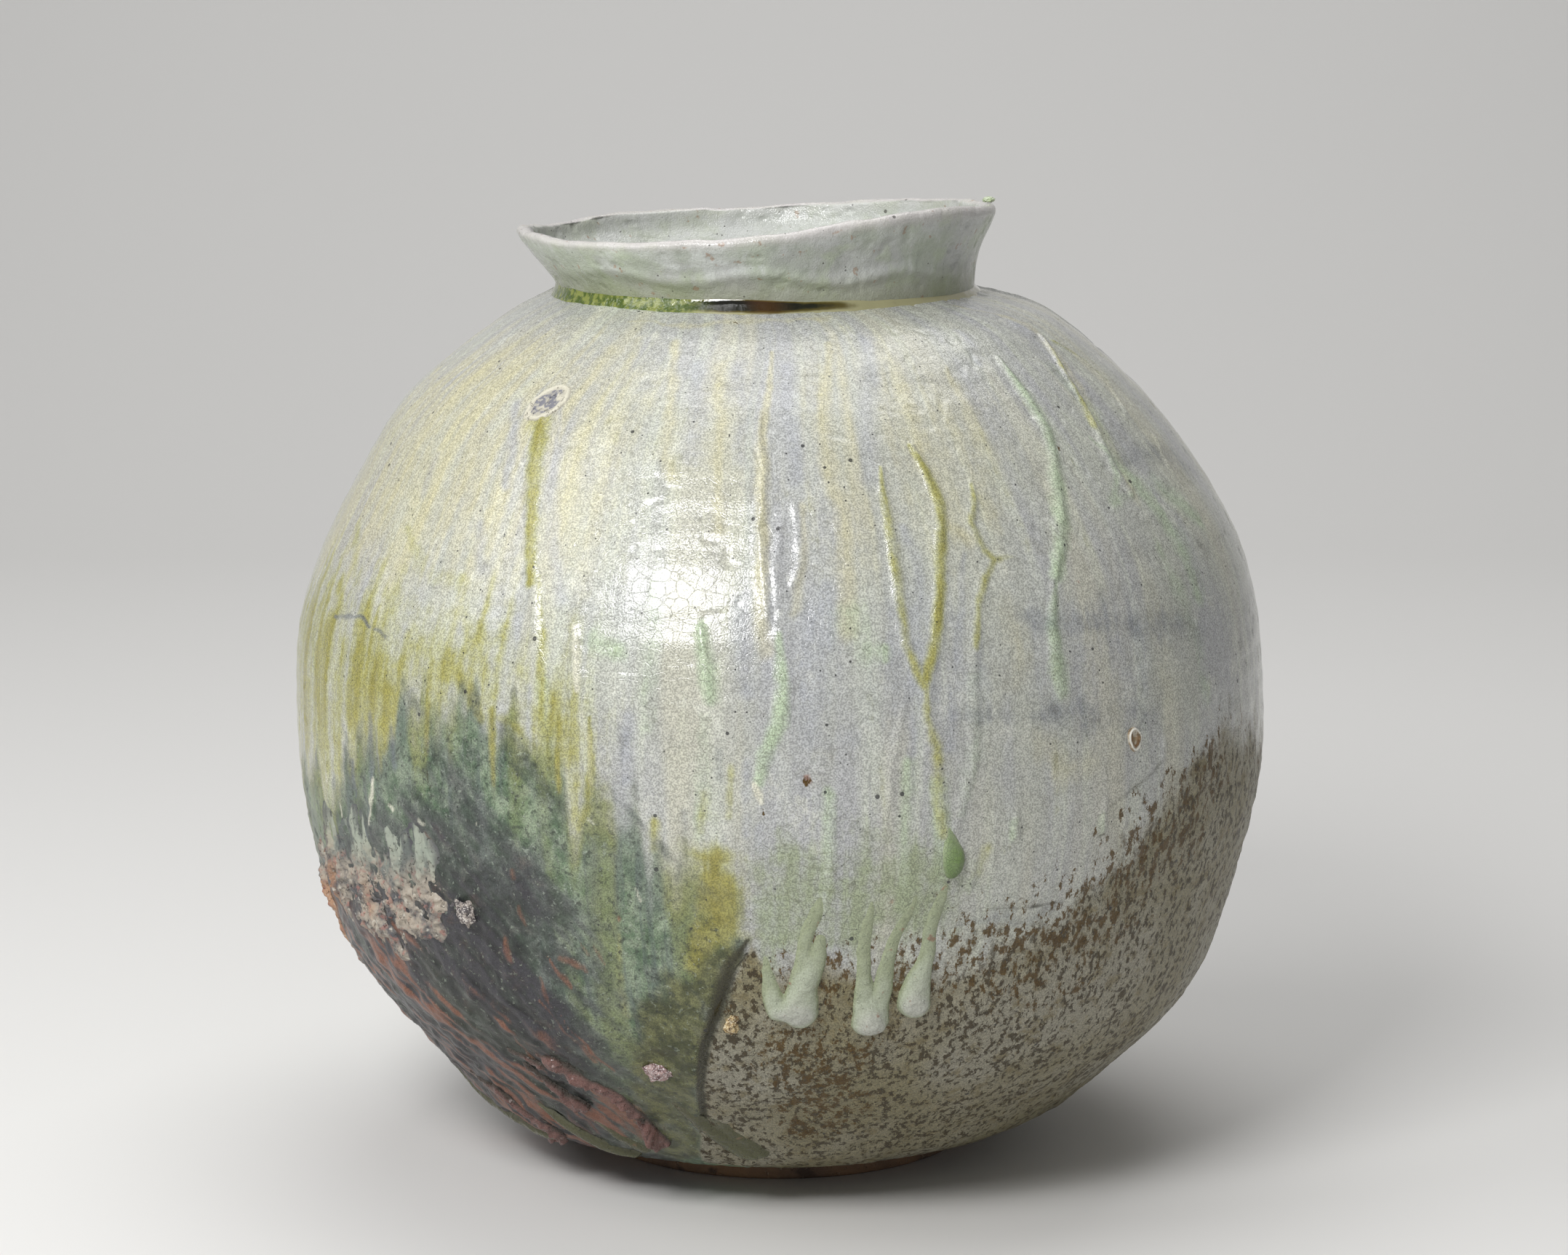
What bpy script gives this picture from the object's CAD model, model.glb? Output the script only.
import bpy
import itertools
import math
import numpy as np
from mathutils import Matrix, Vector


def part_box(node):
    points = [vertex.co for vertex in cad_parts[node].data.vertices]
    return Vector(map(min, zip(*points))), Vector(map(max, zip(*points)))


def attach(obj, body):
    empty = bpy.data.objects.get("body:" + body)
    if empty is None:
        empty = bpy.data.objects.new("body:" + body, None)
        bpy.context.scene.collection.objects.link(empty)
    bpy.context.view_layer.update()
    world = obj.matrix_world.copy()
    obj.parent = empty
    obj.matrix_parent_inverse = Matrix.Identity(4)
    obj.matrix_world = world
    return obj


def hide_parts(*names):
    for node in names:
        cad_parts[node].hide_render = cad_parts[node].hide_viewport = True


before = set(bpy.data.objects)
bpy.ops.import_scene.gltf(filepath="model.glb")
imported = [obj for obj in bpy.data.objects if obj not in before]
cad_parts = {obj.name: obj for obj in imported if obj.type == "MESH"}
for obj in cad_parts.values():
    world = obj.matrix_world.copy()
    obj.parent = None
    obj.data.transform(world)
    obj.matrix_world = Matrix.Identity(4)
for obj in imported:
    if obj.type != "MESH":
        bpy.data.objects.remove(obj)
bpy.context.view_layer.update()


# The thrown wall
# Two stoneware bowls thrown on the wheel and joined rim to rim. The foot was trimmed, so the wall
# starts on a narrow step and ends in a wide mouth that sits off centre. All sizes are in mm.

foot_top = 8.0
rim_level = 371.0
seam_level = 240.0
wall_skin = 0.3

# Height, left half and right half of each ring of the thrown outline
thrown_outline = np.array((
    (8.0, 92.0, 92.0), (14.2, 113.1, 111.6), (24.0, 133.0, 131.6), (39.9, 147.6, 149.7),
    (62.1, 166.3, 172.2), (91.9, 189.1, 190.2), (128.2, 201.6, 200.8), (165.9, 208.6, 209.4),
    (200.0, 210.5, 210.5), (236.0, 206.3, 206.3), (270.1, 193.2, 195.8), (299.9, 177.5, 177.8),
    (326.0, 160.0, 157.0), (348.1, 133.4, 133.1), (364.1, 109.2, 108.4), (371.0, 94.6, 83.8),
))


def smooth_through(knots, values, at):
    """Smooth curve through values at rising knots, read off at other places."""
    gaps = np.diff(knots)
    count = len(knots)
    bends = np.eye(count)
    pulls = np.zeros((count,) + values.shape[1:])
    slopes = np.diff(values, axis=0) / gaps.reshape(-1, *([1] * (values.ndim - 1)))
    for index in range(1, count - 1):
        bends[index, index - 1] = gaps[index - 1]
        bends[index, index] = 2 * (gaps[index - 1] + gaps[index])
        bends[index, index + 1] = gaps[index]
        pulls[index] = 6 * (slopes[index] - slopes[index - 1])
    bent = np.linalg.solve(bends, pulls.reshape(count, -1)).reshape(pulls.shape)
    span = np.clip(np.searchsorted(knots, at, side="right") - 1, 0, count - 2)
    shape = (-1,) + (1,) * (values.ndim - 1)
    width = gaps[span].reshape(shape)
    past = (at - knots[span]).reshape(shape)
    ahead = width - past
    return ((bent[span] * ahead ** 3 + bent[span + 1] * past ** 3) / (6 * width)
            + (values[span] / width - bent[span] * width / 6) * ahead
            + (values[span + 1] / width - bent[span + 1] * width / 6) * past)


def run_along(*lines):
    """Length run up to each point of a line given by its coordinates."""
    return np.concatenate(([0], np.cumsum(np.hypot(*(np.diff(line) for line in lines)))))


mouth_left, mouth_right = thrown_outline[-1, 1:]
outline_climb = run_along(thrown_outline[:, 1:].mean(1), thrown_outline[:, 0])
fine_climb = np.linspace(0, outline_climb[-1], 4000)
fine_outline = smooth_through(outline_climb, thrown_outline, fine_climb)
seam_climb = np.interp(seam_level, fine_outline[:, 0], fine_climb)
wall_end = outline_climb[-1]


def ring(turn, half, level, centre=0.0):
    """Points round the axis at angles, half widths and levels, with the centre moved along x."""
    return np.stack((centre + half * np.cos(turn), half * np.sin(turn), level * np.ones_like(turn)), -1)


def on_wall(angle, climb, lift=0.0):
    """Points on the thrown wall at angles and climbs, lifted off it, with the outward directions."""
    climb = np.asarray(climb, float)
    level, left, right = (np.interp(climb, fine_climb, fine_outline[:, part]) for part in range(3))
    half = (left + right) / 2
    step = 0.5
    levels = fine_outline[:, 0]
    reach = fine_outline[:, 1:].mean(1)
    rise, spread = (np.interp(climb + step, fine_climb, line) - np.interp(climb - step, fine_climb, line)
                    for line in (levels, reach))
    steep = np.hypot(rise, spread)
    outward = ring(angle, rise / steep, -spread / steep)
    foot = ring(angle, half, level, (right - left) / 2)
    return foot + outward * np.asarray(lift)[..., None], outward


def half_at(climb):
    """Half width of the wall at a climb."""
    return np.interp(climb, fine_climb, fine_outline[:, 1:].mean(1))


def lumps(points, size, seed):
    """Smooth random swell from -1 to 1, with lumps of about one size in mm."""
    cell = points / size + seed * 17.31
    base = np.floor(cell).astype(np.int64)
    part = cell - base
    part = part * part * (3 - 2 * part)
    total = np.zeros(len(points))
    for corner in itertools.product((0, 1), repeat=3):
        key = ((base + corner) * (73856093, 19349663, 83492791)).sum(1)
        key = (key ^ (key >> 13)) * 1274126177 & 0x7FFFFFFF
        key = (key ^ (key >> 15)) * 668265263 & 0x7FFFFFFF
        weight = np.prod(np.where(corner, part, 1 - part), axis=1)
        total += weight * ((key >> 8) % 4096 / 2048 - 1)
    return total


def ease(value, low, high):
    """Soft step from 0 at low to 1 at high."""
    share = np.clip((value - low) / (high - low), 0, 1)
    return share * share * (3 - 2 * share)


# The glaze as it ran
# Wood ash settled on the shoulder, melted and ran down in streaks, and the side that lay towards the
# fire bed went mossy, dark and crusted. Each streak or patch is traced on the photograph, in its
# pixels as x, y and half width, and laid on the wall where the camera sees it.

photo_width = 2156
photo_height = 1725
lens = 95.0
sensor = 36.0
camera_distance = 1798.0
camera_pitch = math.radians(10)
aim = np.array((1.8, 0.0, 223.0))
pixel_on_wall = 0.285
wall_half = 210.0
wall_front = 240.0
wall_back = 60.0

ahead = np.array((0, math.cos(camera_pitch), -math.sin(camera_pitch)))
upward = np.array((0, math.sin(camera_pitch), math.cos(camera_pitch)))
camera_place = aim - ahead * camera_distance
focal = lens / sensor * photo_width


def traced(*marks):
    """Route on the wall through marks on the photograph: angle, climb, half width and any height in mm."""
    route = []
    sideways = np.array((1, 0, 0))
    depth = np.linspace(camera_distance - wall_front, camera_distance + wall_back, 1200)
    for x, y, half, *height in marks:
        ray = ahead + sideways * (x - photo_width / 2) / focal + upward * (photo_height / 2 - y) / focal
        points = camera_place + ray * depth[:, None]
        level = np.clip(points[:, 2], foot_top, rim_level)
        climb = np.interp(level, fine_outline[:, 0], fine_climb)
        left = np.interp(climb, fine_climb, fine_outline[:, 1])
        right = np.interp(climb, fine_climb, fine_outline[:, 2])
        centre = (right - left) / 2
        over = np.hypot(points[:, 0] - centre, points[:, 1]) - (left + right) / 2
        inside = np.nonzero(over < 0)[0]
        spot = inside[0] if len(inside) else int(np.argmin(over))
        turn = math.atan2(points[spot, 1], points[spot, 0] - centre[spot])
        route.append((turn, climb[spot], half * pixel_on_wall, *height))
    return np.array(route)


def lay(places, strokes, soft):
    """How strongly a set of strokes covers each place on the wall, up to the strength of each stroke."""
    angle, climb = places
    cover = np.zeros(len(angle))
    for strength, route in strokes:
        widest = route[:, 2].max()
        near = np.nonzero((climb > route[:, 1].min() - widest) & (climb < route[:, 1].max() + widest))[0]
        turn = (angle[near] - route[0, 0] + math.pi) % (2 * math.pi) - math.pi
        bends = np.unwrap(route[:, 0]) - route[0, 0]
        round_wall = half_at(climb[near])
        across = turn * round_wall
        ratio = np.full(len(near), 9.0)
        spans = range(len(route) - 1) if len(route) > 1 else (0,)
        for span in spans:
            after = min(span + 1, len(route) - 1)
            start = bends[span] * round_wall
            run = bends[after] * round_wall - start
            rise = route[after, 1] - route[span, 1]
            past = across - start
            up = climb[near] - route[span, 1]
            share = np.clip((past * run + up * rise) / np.maximum(run * run + rise * rise, 1e-6), 0, 1)
            half = route[span, 2] + (route[after, 2] - route[span, 2]) * share
            ratio = np.minimum(ratio, np.hypot(past - share * run, up - share * rise) / half)
        cover[near] = np.maximum(cover[near], strength * (1 - ease(ratio, soft, 1)))
    return cover


def traced_strokes(*rows):
    """Strokes as pairs of strength and route, each row a strength and then its marks on the photograph."""
    return [(strength, traced(*marks)) for strength, *marks in rows]


# Raised runs that ride on the wall, each with its height in mm
raised_runs = traced_strokes(
    (1.0, (1213, 640, 8), (1218, 700, 10), (1228, 760, 10), (1238, 830, 9), (1246, 880, 9), (1259, 915, 8),
     (1274, 940, 8)),
    (1.2, (1252, 610, 8), (1272, 645, 11), (1290, 690, 11), (1293, 760, 10), (1292, 830, 10),
     (1288, 880, 10), (1276, 930, 10), (1278, 980, 10), (1289, 1030, 12), (1292, 1090, 12),
     (1300, 1150, 9)),
    (1.0, (1337, 660, 7), (1340, 691, 8), (1334, 717, 8), (1351, 755, 8), (1366, 768, 7), (1354, 792, 8),
     (1346, 830, 8), (1341, 880, 8), (1340, 960, 9), (1339, 1050, 9), (1326, 1100, 8), (1314, 1140, 7)),
    (0.8, (1392, 768, 6), (1376, 766, 7), (1366, 768, 6)),
    (0.9, (1078, 712, 10), (1066, 780, 14), (1072, 850, 16), (1079, 920, 14), (1077, 965, 12),
     (1068, 1000, 11), (1052, 1035, 10), (1044, 1068, 10)),
    (1.3, (1079, 945, 12), (1074, 985, 13)),
    (1.0, (1045, 560, 7), (1050, 640, 9), (1044, 720, 9), (1048, 790, 9), (1056, 850, 8)),
    (1.1, (964, 860, 10), (968, 905, 12), (972, 950, 12), (974, 962, 10)),
    (0.7, (1090, 690, 6), (1099, 735, 7), (1100, 770, 7), (1090, 805, 6)),
    (1.2, (1372, 491, 8), (1392, 518, 9), (1416, 550, 10), (1439, 588, 10), (1449, 629, 10),
     (1455, 673, 11), (1459, 732, 12), (1450, 790, 9)),
    (1.0, (1445, 800, 8), (1447, 860, 10), (1455, 915, 10), (1462, 950, 8)),
    (1.1, (1428, 459, 6), (1457, 503, 7), (1483, 541, 7), (1504, 585, 7), (1522, 621, 8), (1539, 653, 8),
     (1556, 678, 6)),
    (0.8, (1445, 468, 4), (1475, 484, 5), (1500, 503, 5), (1526, 528, 5), (1548, 566, 4)),
    (0.9, (1588, 600, 5), (1606, 640, 6), (1622, 668, 5)),
    (1.0, (745, 574, 12), (740, 604, 15), (735, 640, 14), (731, 700, 12), (731, 770, 11), (736, 860, 11),
     (741, 940, 11), (745, 1020, 10), (752, 1070, 9)),
    (0.9, (790, 862, 7), (792, 920, 8), (796, 950, 7), (804, 1000, 10), (810, 1060, 10), (812, 1100, 8)),
    (0.6, (520, 925, 9), (518, 1000, 8), (520, 1055, 6)),
    (0.7, (504, 1085, 7), (510, 1110, 7), (508, 1140, 5)),
    (0.7, (447, 1045, 4), (449, 1075, 5)),
    (0.8, (1245, 965, 7), (1230, 1030, 9), (1224, 1090, 9), (1214, 1160, 7)),
    (0.6, (1143, 1093, 8), (1143, 1180, 10), (1138, 1250, 8)),
    (0.8, (1525, 1090, 5), (1520, 1120, 7), (1517, 1142, 6)),
    (0.8, (1400, 1120, 5), (1397, 1150, 7)),
    (0.8, (1340, 1185, 5), (1335, 1215, 7)),
    (0.7, (1602, 1015, 5), (1600, 1048, 7)),
)


def run_back(seed, angle, top, bottom, half):
    """Run on a side that the photograph doesn't show: it wanders as it goes down and is thick at its end."""
    steps = 9
    turn = np.full(steps, math.radians(angle))
    for index in range(1, steps):
        turn[index] = turn[index - 1] + 0.02 * math.sin(seed * 5.1 + index * 1.7)
    swell = half * np.array((0.5, 0.8, 0.9, 1.0, 0.9, 1.0, 1.1, 1.2, 0.9))
    return np.stack((turn, np.linspace(top, bottom, steps), swell), -1)


unseen_runs = []
for number in range(18):
    around = 8 + number * 9.4 + 3 * math.sin(number * 3.7)
    top = 470 - 40 * abs(math.sin(number * 1.3))
    bottom = 250 + 60 * math.sin(number * 2.3)
    unseen_runs.append((1.0, run_back(number, around, top, bottom, 2.6 + 1.0 * abs(math.sin(number * 2.9)))))

# Straw-coloured streaks where the ash lay thin on the shoulder
straw_streaks = traced_strokes(
    (0.7, (620, 480, 18), (600, 560, 34), (580, 640, 44), (560, 720, 44), (540, 800, 36)),
    (0.6, (690, 470, 14), (675, 560, 20), (660, 650, 30), (650, 740, 30)),
    (0.6, (800, 560, 14), (792, 650, 20), (786, 740, 20)),
    (0.7, (926, 470, 9), (923, 560, 11), (920, 660, 10)),
    (0.6, (870, 470, 12), (856, 560, 16), (850, 640, 14)),
    (0.7, (990, 495, 10), (985, 600, 11), (984, 720, 12)),
    (0.8, (1057, 480, 10), (1052, 560, 11), (1047, 640, 11), (1042, 720, 10), (1046, 820, 12),
     (1060, 900, 12)),
    (0.8, (1136, 470, 18), (1134, 560, 20), (1140, 640, 20), (1162, 700, 17), (1163, 780, 16),
     (1170, 880, 18)),
    (0.6, (1098, 700, 8), (1104, 770, 9), (1096, 830, 10)),
    (0.7, (1252, 600, 14), (1272, 650, 22), (1300, 720, 22), (1330, 740, 16)),
    (0.6, (1205, 470, 12), (1222, 560, 14), (1236, 640, 12)),
    (0.6, (1300, 500, 14), (1330, 560, 20), (1352, 640, 22), (1368, 720, 24)),
    (0.6, (1310, 420, 14), (1400, 440, 18), (1460, 500, 16), (1510, 580, 14), (1560, 680, 12)),
    (0.5, (1380, 840, 26), (1400, 900, 30), (1390, 940, 24)),
    (0.5, (1430, 1020, 30), (1470, 1060, 30), (1500, 1050, 24)),
    (0.6, (860, 440, 16), (940, 446, 12), (1040, 440, 10), (1140, 436, 10)),
)

# Yellow-olive ash, thickest in the middle of the runs
yellow_ash = traced_strokes(
    (0.75, (466, 800, 20), (468, 850, 22), (462, 885, 16)),
    (1.0, (492, 885, 24), (480, 940, 32), (476, 990, 22)),
    (0.95, (519, 975, 10), (519, 1020, 11), (521, 1060, 8)),
    (0.8, (585, 950, 10), (584, 1000, 10), (584, 1040, 8)),
    (0.85, (612, 905, 18), (636, 940, 24), (655, 985, 16)),
    (0.95, (672, 975, 12), (673, 1030, 12), (677, 1078, 8)),
    (0.8, (686, 985, 14), (712, 1003, 12)),
    (0.7, (742, 790, 12), (744, 880, 12), (748, 980, 11), (757, 1070, 11)),
    (0.9, (764, 1030, 9), (768, 1090, 8)),
    (0.9, (808, 985, 11), (812, 1060, 12), (806, 1110, 14), (794, 1140, 12)),
    (0.6, (492, 720, 14), (486, 790, 18)),
    (0.5, (560, 720, 24), (590, 790, 34), (636, 800, 20), (640, 870, 12)),
    (0.55, (436, 985, 8), (436, 1030, 9)),
    (1.0, (745, 574, 22), (740, 604, 22), (735, 640, 18), (733, 680, 14), (731, 740, 12), (731, 800, 12)),
    (1.0, (743, 578, 22), (739, 610, 20), (734, 660, 14)),
    (0.8, (1213, 640, 9), (1219, 700, 11), (1229, 760, 11), (1239, 830, 10), (1247, 885, 10),
     (1262, 920, 9), (1276, 942, 8)),
    (0.9, (1252, 610, 10), (1272, 645, 12), (1290, 690, 12), (1293, 760, 11), (1292, 830, 11),
     (1288, 880, 11), (1277, 930, 10)),
    (0.7, (1277, 930, 10), (1279, 980, 11), (1289, 1030, 13), (1292, 1100, 14), (1300, 1150, 10)),
    (0.75, (1337, 662, 9), (1340, 691, 9), (1334, 717, 9), (1351, 755, 9), (1366, 768, 8), (1354, 792, 9),
     (1346, 830, 9), (1341, 890, 8)),
    (0.6, (1366, 768, 7), (1390, 764, 8)),
    (0.75, (1428, 459, 7), (1457, 503, 8), (1483, 541, 8), (1504, 585, 8)),
    (0.6, (1445, 468, 5), (1492, 494, 6), (1522, 521, 6)),
    (1.0, (970, 1190, 16), (984, 1230, 34), (1000, 1280, 34), (1008, 1320, 20)),
    (0.8, (960, 1290, 14), (975, 1330, 18), (968, 1370, 12)),
    (0.8, (902, 1130, 12), (904, 1165, 14)),
    (0.6, (966, 1090, 8), (965, 1140, 9)),
    (0.7, (1005, 1055, 8), (1002, 1120, 8)),
    (0.8, (852, 1285, 8), (850, 1320, 12), (862, 1400, 14)),
    (0.6, (1357, 1165, 12), (1346, 1200, 14)),
)

# Pale milky green where the ash ran thick
celadon = traced_strokes(
    (0.9, (962, 860, 12), (969, 915, 15), (974, 962, 12)),
    (0.9, (1072, 870, 15), (1079, 945, 15), (1073, 995, 14), (1052, 1042, 12), (1045, 1076, 10)),
    (0.5, (1170, 850, 28), (1190, 890, 26), (1219, 896, 14)),
    (0.8, (1219, 888, 7), (1220, 905, 6)),
    (0.7, (1143, 1093, 12), (1143, 1180, 14), (1134, 1250, 12)),
    (0.7, (1250, 1050, 12), (1246, 1160, 13), (1246, 1250, 12)),
    (0.7, (1290, 1080, 16), (1298, 1150, 18), (1296, 1220, 12)),
    (0.8, (1372, 491, 10), (1392, 518, 11), (1416, 550, 12), (1439, 588, 12), (1449, 629, 13),
     (1455, 673, 15), (1459, 732, 17), (1450, 790, 15)),
    (0.7, (1500, 600, 12), (1560, 660, 24), (1620, 740, 26), (1650, 820, 18)),
    (0.5, (1440, 500, 16), (1500, 560, 22), (1540, 640, 20)),
    (0.5, (1600, 760, 20), (1640, 860, 24), (1660, 960, 20)),
    (0.8, (1450, 790, 15), (1447, 860, 15), (1456, 917, 17), (1462, 953, 12)),
    (0.6, (1520, 620, 10), (1538, 655, 11), (1532, 690, 13), (1556, 680, 8)),
    (0.7, (1590, 668, 26), (1625, 695, 28), (1648, 715, 16)),
    (0.6, (747, 940, 12), (750, 1010, 12), (752, 1060, 10)),
    (0.7, (818, 880, 18), (846, 896, 16)),
    (0.5, (897, 800, 16), (900, 860, 20), (893, 930, 18), (888, 1000, 14)),
    (0.5, (965, 985, 12), (963, 1060, 12), (962, 1150, 13)),
    (0.5, (1060, 1250, 30), (1075, 1290, 24), (1040, 1240, 20)),
    (0.7, (452, 1080, 9), (452, 1130, 11), (462, 1165, 8)),
    (0.6, (430, 850, 5), (432, 950, 6), (436, 1060, 6)),
    (0.6, (790, 405, 16), (850, 418, 12), (900, 424, 8)),
    (0.4, (1340, 930, 14), (1339, 1060, 16), (1325, 1120, 12)),
    (0.7, (1397, 1130, 8), (1396, 1152, 8)),
    (0.5, (1519, 1120, 9), (1518, 1144, 8)),
    (0.5, (1345, 1190, 14), (1340, 1220, 12)),
)

# Bluish lavender where the glaze lay thin over the grey body
lavender = traced_strokes(
    (0.7, (709, 552, 10), (706, 600, 12), (701, 655, 12)),
    (0.6, (770, 545, 10), (764, 610, 10), (756, 680, 12), (760, 760, 14), (770, 830, 14)),
    (0.5, (600, 625, 12), (585, 670, 14)),
    (0.6, (660, 725, 12), (664, 790, 14)),
    (0.6, (957, 500, 16), (955, 560, 18), (950, 630, 16)),
    (0.6, (1016, 500, 15), (1018, 570, 16), (1014, 640, 15)),
    (0.6, (1080, 500, 14), (1086, 580, 18), (1092, 660, 16)),
    (0.6, (1190, 470, 18), (1196, 560, 20), (1200, 660, 22)),
    (0.6, (1325, 460, 14), (1345, 500, 14)),
    (0.6, (1395, 445, 10), (1440, 470, 10)),
    (0.6, (1240, 720, 18), (1262, 780, 16), (1266, 860, 14), (1268, 900, 8)),
    (0.6, (1320, 760, 14), (1318, 850, 14), (1314, 960, 14), (1310, 1040, 10)),
    (0.6, (1022, 820, 18), (1020, 880, 22), (1030, 960, 18)),
    (0.6, (1142, 820, 18), (1146, 885, 18)),
    (0.5, (1110, 960, 20), (1120, 1020, 18), (1180, 1010, 18)),
    (0.6, (1262, 985, 9), (1258, 1040, 9)),
    (0.6, (1050, 1140, 12), (1054, 1165, 14)),
    (0.7, (1028, 1050, 12), (1026, 1100, 13), (1028, 1140, 10)),
    (0.6, (858, 980, 11), (857, 1070, 12)),
    (0.8, (529, 915, 7), (530, 960, 9), (529, 1015, 8)),
    (0.8, (558, 953, 10), (561, 1010, 10)),
    (0.6, (605, 975, 12), (610, 1000, 10)),
    (0.8, (646, 955, 13), (648, 995, 12)),
    (0.8, (722, 945, 9), (726, 1000, 10), (738, 1060, 9)),
    (0.8, (784, 955, 9), (787, 1010, 10), (790, 1065, 8)),
    (0.6, (711, 850, 9), (711, 900, 9)),
    (0.6, (552, 860, 9), (556, 862, 9)),
)

# Blue-grey glaze, nearly bare of ash
slate = traced_strokes(
    (0.9, (503, 988, 8), (505, 1030, 10), (508, 1066, 8)),
    (0.9, (479, 1050, 6), (482, 1090, 8), (484, 1100, 5)),
    (0.8, (534, 1000, 7), (538, 1050, 10)),
    (0.7, (500, 1135, 7), (505, 1150, 7)),
    (0.7, (530, 1148, 6), (540, 1180, 8)),
    (0.5, (983, 1035, 9), (984, 1075, 10)),
    (0.6, (940, 1110, 10), (944, 1160, 13), (938, 1210, 12)),
    (0.6, (1400, 852, 16), (1530, 860, 26), (1650, 868, 24)),
    (0.6, (1320, 982, 16), (1440, 986, 26), (1590, 984, 22)),
    (0.6, (1540, 628, 22), (1590, 624, 28), (1640, 642, 22)),
    (0.6, (1310, 1272, 12), (1360, 1262, 20), (1420, 1258, 18), (1470, 1244, 10)),
    (1.0, (458, 845, 4), (467, 848, 7), (480, 851, 4)),
    (0.95, (481, 851, 3), (500, 856, 4), (510, 857, 3)),
    (0.95, (514, 862, 4), (524, 865, 5), (533, 867, 4)),
    (0.6, (850, 1000, 10), (846, 1100, 14)),
)

# Rust where iron came out of the body
rust = traced_strokes(
    (0.75, (748, 1300, 3), (762, 1322, 5), (776, 1340, 6), (790, 1362, 3)),
    (0.6, (742, 1338, 3), (752, 1362, 5), (764, 1386, 3)),
    (0.7, (778, 1396, 3), (800, 1424, 5), (826, 1456, 4), (846, 1476, 3)),
    (0.6, (812, 1300, 3), (822, 1318, 4), (830, 1330, 3)),
    (0.95, (441, 1158, 6), (455, 1174, 10), (470, 1190, 10)),
    (0.8, (448, 1195, 8), (462, 1240, 10), (486, 1300, 10), (520, 1350, 8)),
    (0.7, (540, 1270, 10), (560, 1290, 10), (575, 1305, 8)),
    (0.6, (697, 1296, 6), (702, 1318, 9)),
    (0.6, (705, 1198, 5), (707, 1214, 5)),
    (0.6, (716, 1258, 4), (720, 1272, 5)),
    (0.6, (770, 1312, 6), (790, 1328, 8), (804, 1340, 6)),
    (0.55, (798, 1300, 4), (806, 1312, 5)),
    (0.6, (745, 1370, 5), (775, 1408, 7), (806, 1442, 8), (822, 1462, 5)),
    (0.5, (690, 1400, 4), (720, 1440, 5), (752, 1474, 4)),
    (0.5, (586, 1148, 5), (592, 1180, 7)),
    (0.8, (1485, 803, 3.5)),
    (0.8, (1233, 1243, 5)),
    (0.7, (852, 1262, 5)),
    (0.8, (1117, 1062, 5), (1117, 1072, 6)),
)

# Cream crystals and small white drops
cream = traced_strokes(
    (0.6, (1560, 640, 8), (1590, 672, 18), (1620, 704, 22), (1652, 742, 14)),
    (1.0, (1038, 1078, 6), (1044, 1092, 10), (1049, 1104, 6)),
    (0.5, (1052, 1060, 6), (1055, 1082, 7)),
    (0.9, (790, 862, 7), (792, 900, 9), (794, 948, 6)),
    (0.6, (800, 980, 9), (808, 1020, 10), (812, 1080, 7)),
    (0.85, (446, 1042, 4), (449, 1074, 5)),
    (0.9, (510, 1070, 6), (509, 1100, 7), (507, 1132, 5)),
    (0.8, (466, 1105, 4), (469, 1122, 5)),
    (0.9, (532, 1106, 5), (539, 1112, 6)),
    (0.8, (655, 1133, 5)),
    (0.8, (808, 1126, 5), (815, 1131, 5)),
    (0.8, (576, 1128, 6), (583, 1134, 6)),
    (0.7, (472, 1000, 3), (478, 1012, 4)),
    (0.7, (589, 1092, 3.5)),
    (0.8, (875, 1222, 3), (878, 1232, 3), (881, 1240, 4)),
    (0.7, (900, 1217, 3)),
    (0.6, (812, 1242, 4), (826, 1256, 5)),
    (0.6, (790, 1284, 5)),
    (0.5, (905, 1085, 20), (910, 1100, 18)),
    (0.45, (900, 1030, 14), (905, 1050, 16)),
    (0.6, (1600, 806, 6)),
    (0.5, (1008, 1302, 6), (1018, 1310, 6)),
    (0.55, (1012, 1340, 7), (1022, 1346, 8)),
    (0.6, (548, 856, 6), (558, 862, 6)),
    (0.5, (476, 862, 14), (496, 868, 12)),
)

# Glassy amber mottles over the dry lower wall
amber = traced_strokes(
    (0.9, (1136, 1280, 12), (1146, 1320, 20), (1150, 1360, 18), (1130, 1400, 10)),
    (0.7, (1066, 1300, 14), (1070, 1335, 14), (1056, 1360, 12)),
    (0.8, (1240, 1290, 8), (1244, 1320, 10)),
    (0.9, (1290, 1346, 16), (1310, 1340, 18), (1340, 1322, 20)),
    (1.0, (1400, 1270, 24), (1440, 1290, 36), (1480, 1300, 36), (1540, 1250, 36)),
    (0.8, (1360, 1366, 26), (1420, 1376, 34), (1500, 1350, 36)),
    (0.7, (1460, 1230, 16), (1520, 1180, 30), (1570, 1120, 30), (1610, 1070, 18)),
    (0.6, (1004, 1360, 10), (1000, 1400, 12)),
    (0.9, (1400, 1222, 7)),
    (0.8, (1357, 1228, 5)),
    (0.7, (1302, 1282, 7)),
    (0.9, (1116, 1064, 8), (1117, 1074, 8)),
    (0.8, (1057, 1112, 5), (1057, 1120, 5)),
    (0.7, (1463, 1084, 5), (1463, 1110, 6)),
    (0.5, (1453, 613, 3), (1455, 618, 3)),
    (0.5, (1504, 738, 3), (1505, 746, 3)),
    (0.8, (1005, 443, 5), (1016, 446, 4)),
    (0.7, (1046, 428, 6), (1060, 432, 6)),
    (0.6, (840, 462, 8), (852, 464, 6)),
    (0.7, (1226, 1240, 6), (1236, 1248, 6)),
    (0.6, (1184, 1120, 4), (1178, 1140, 5)),
)

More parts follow.
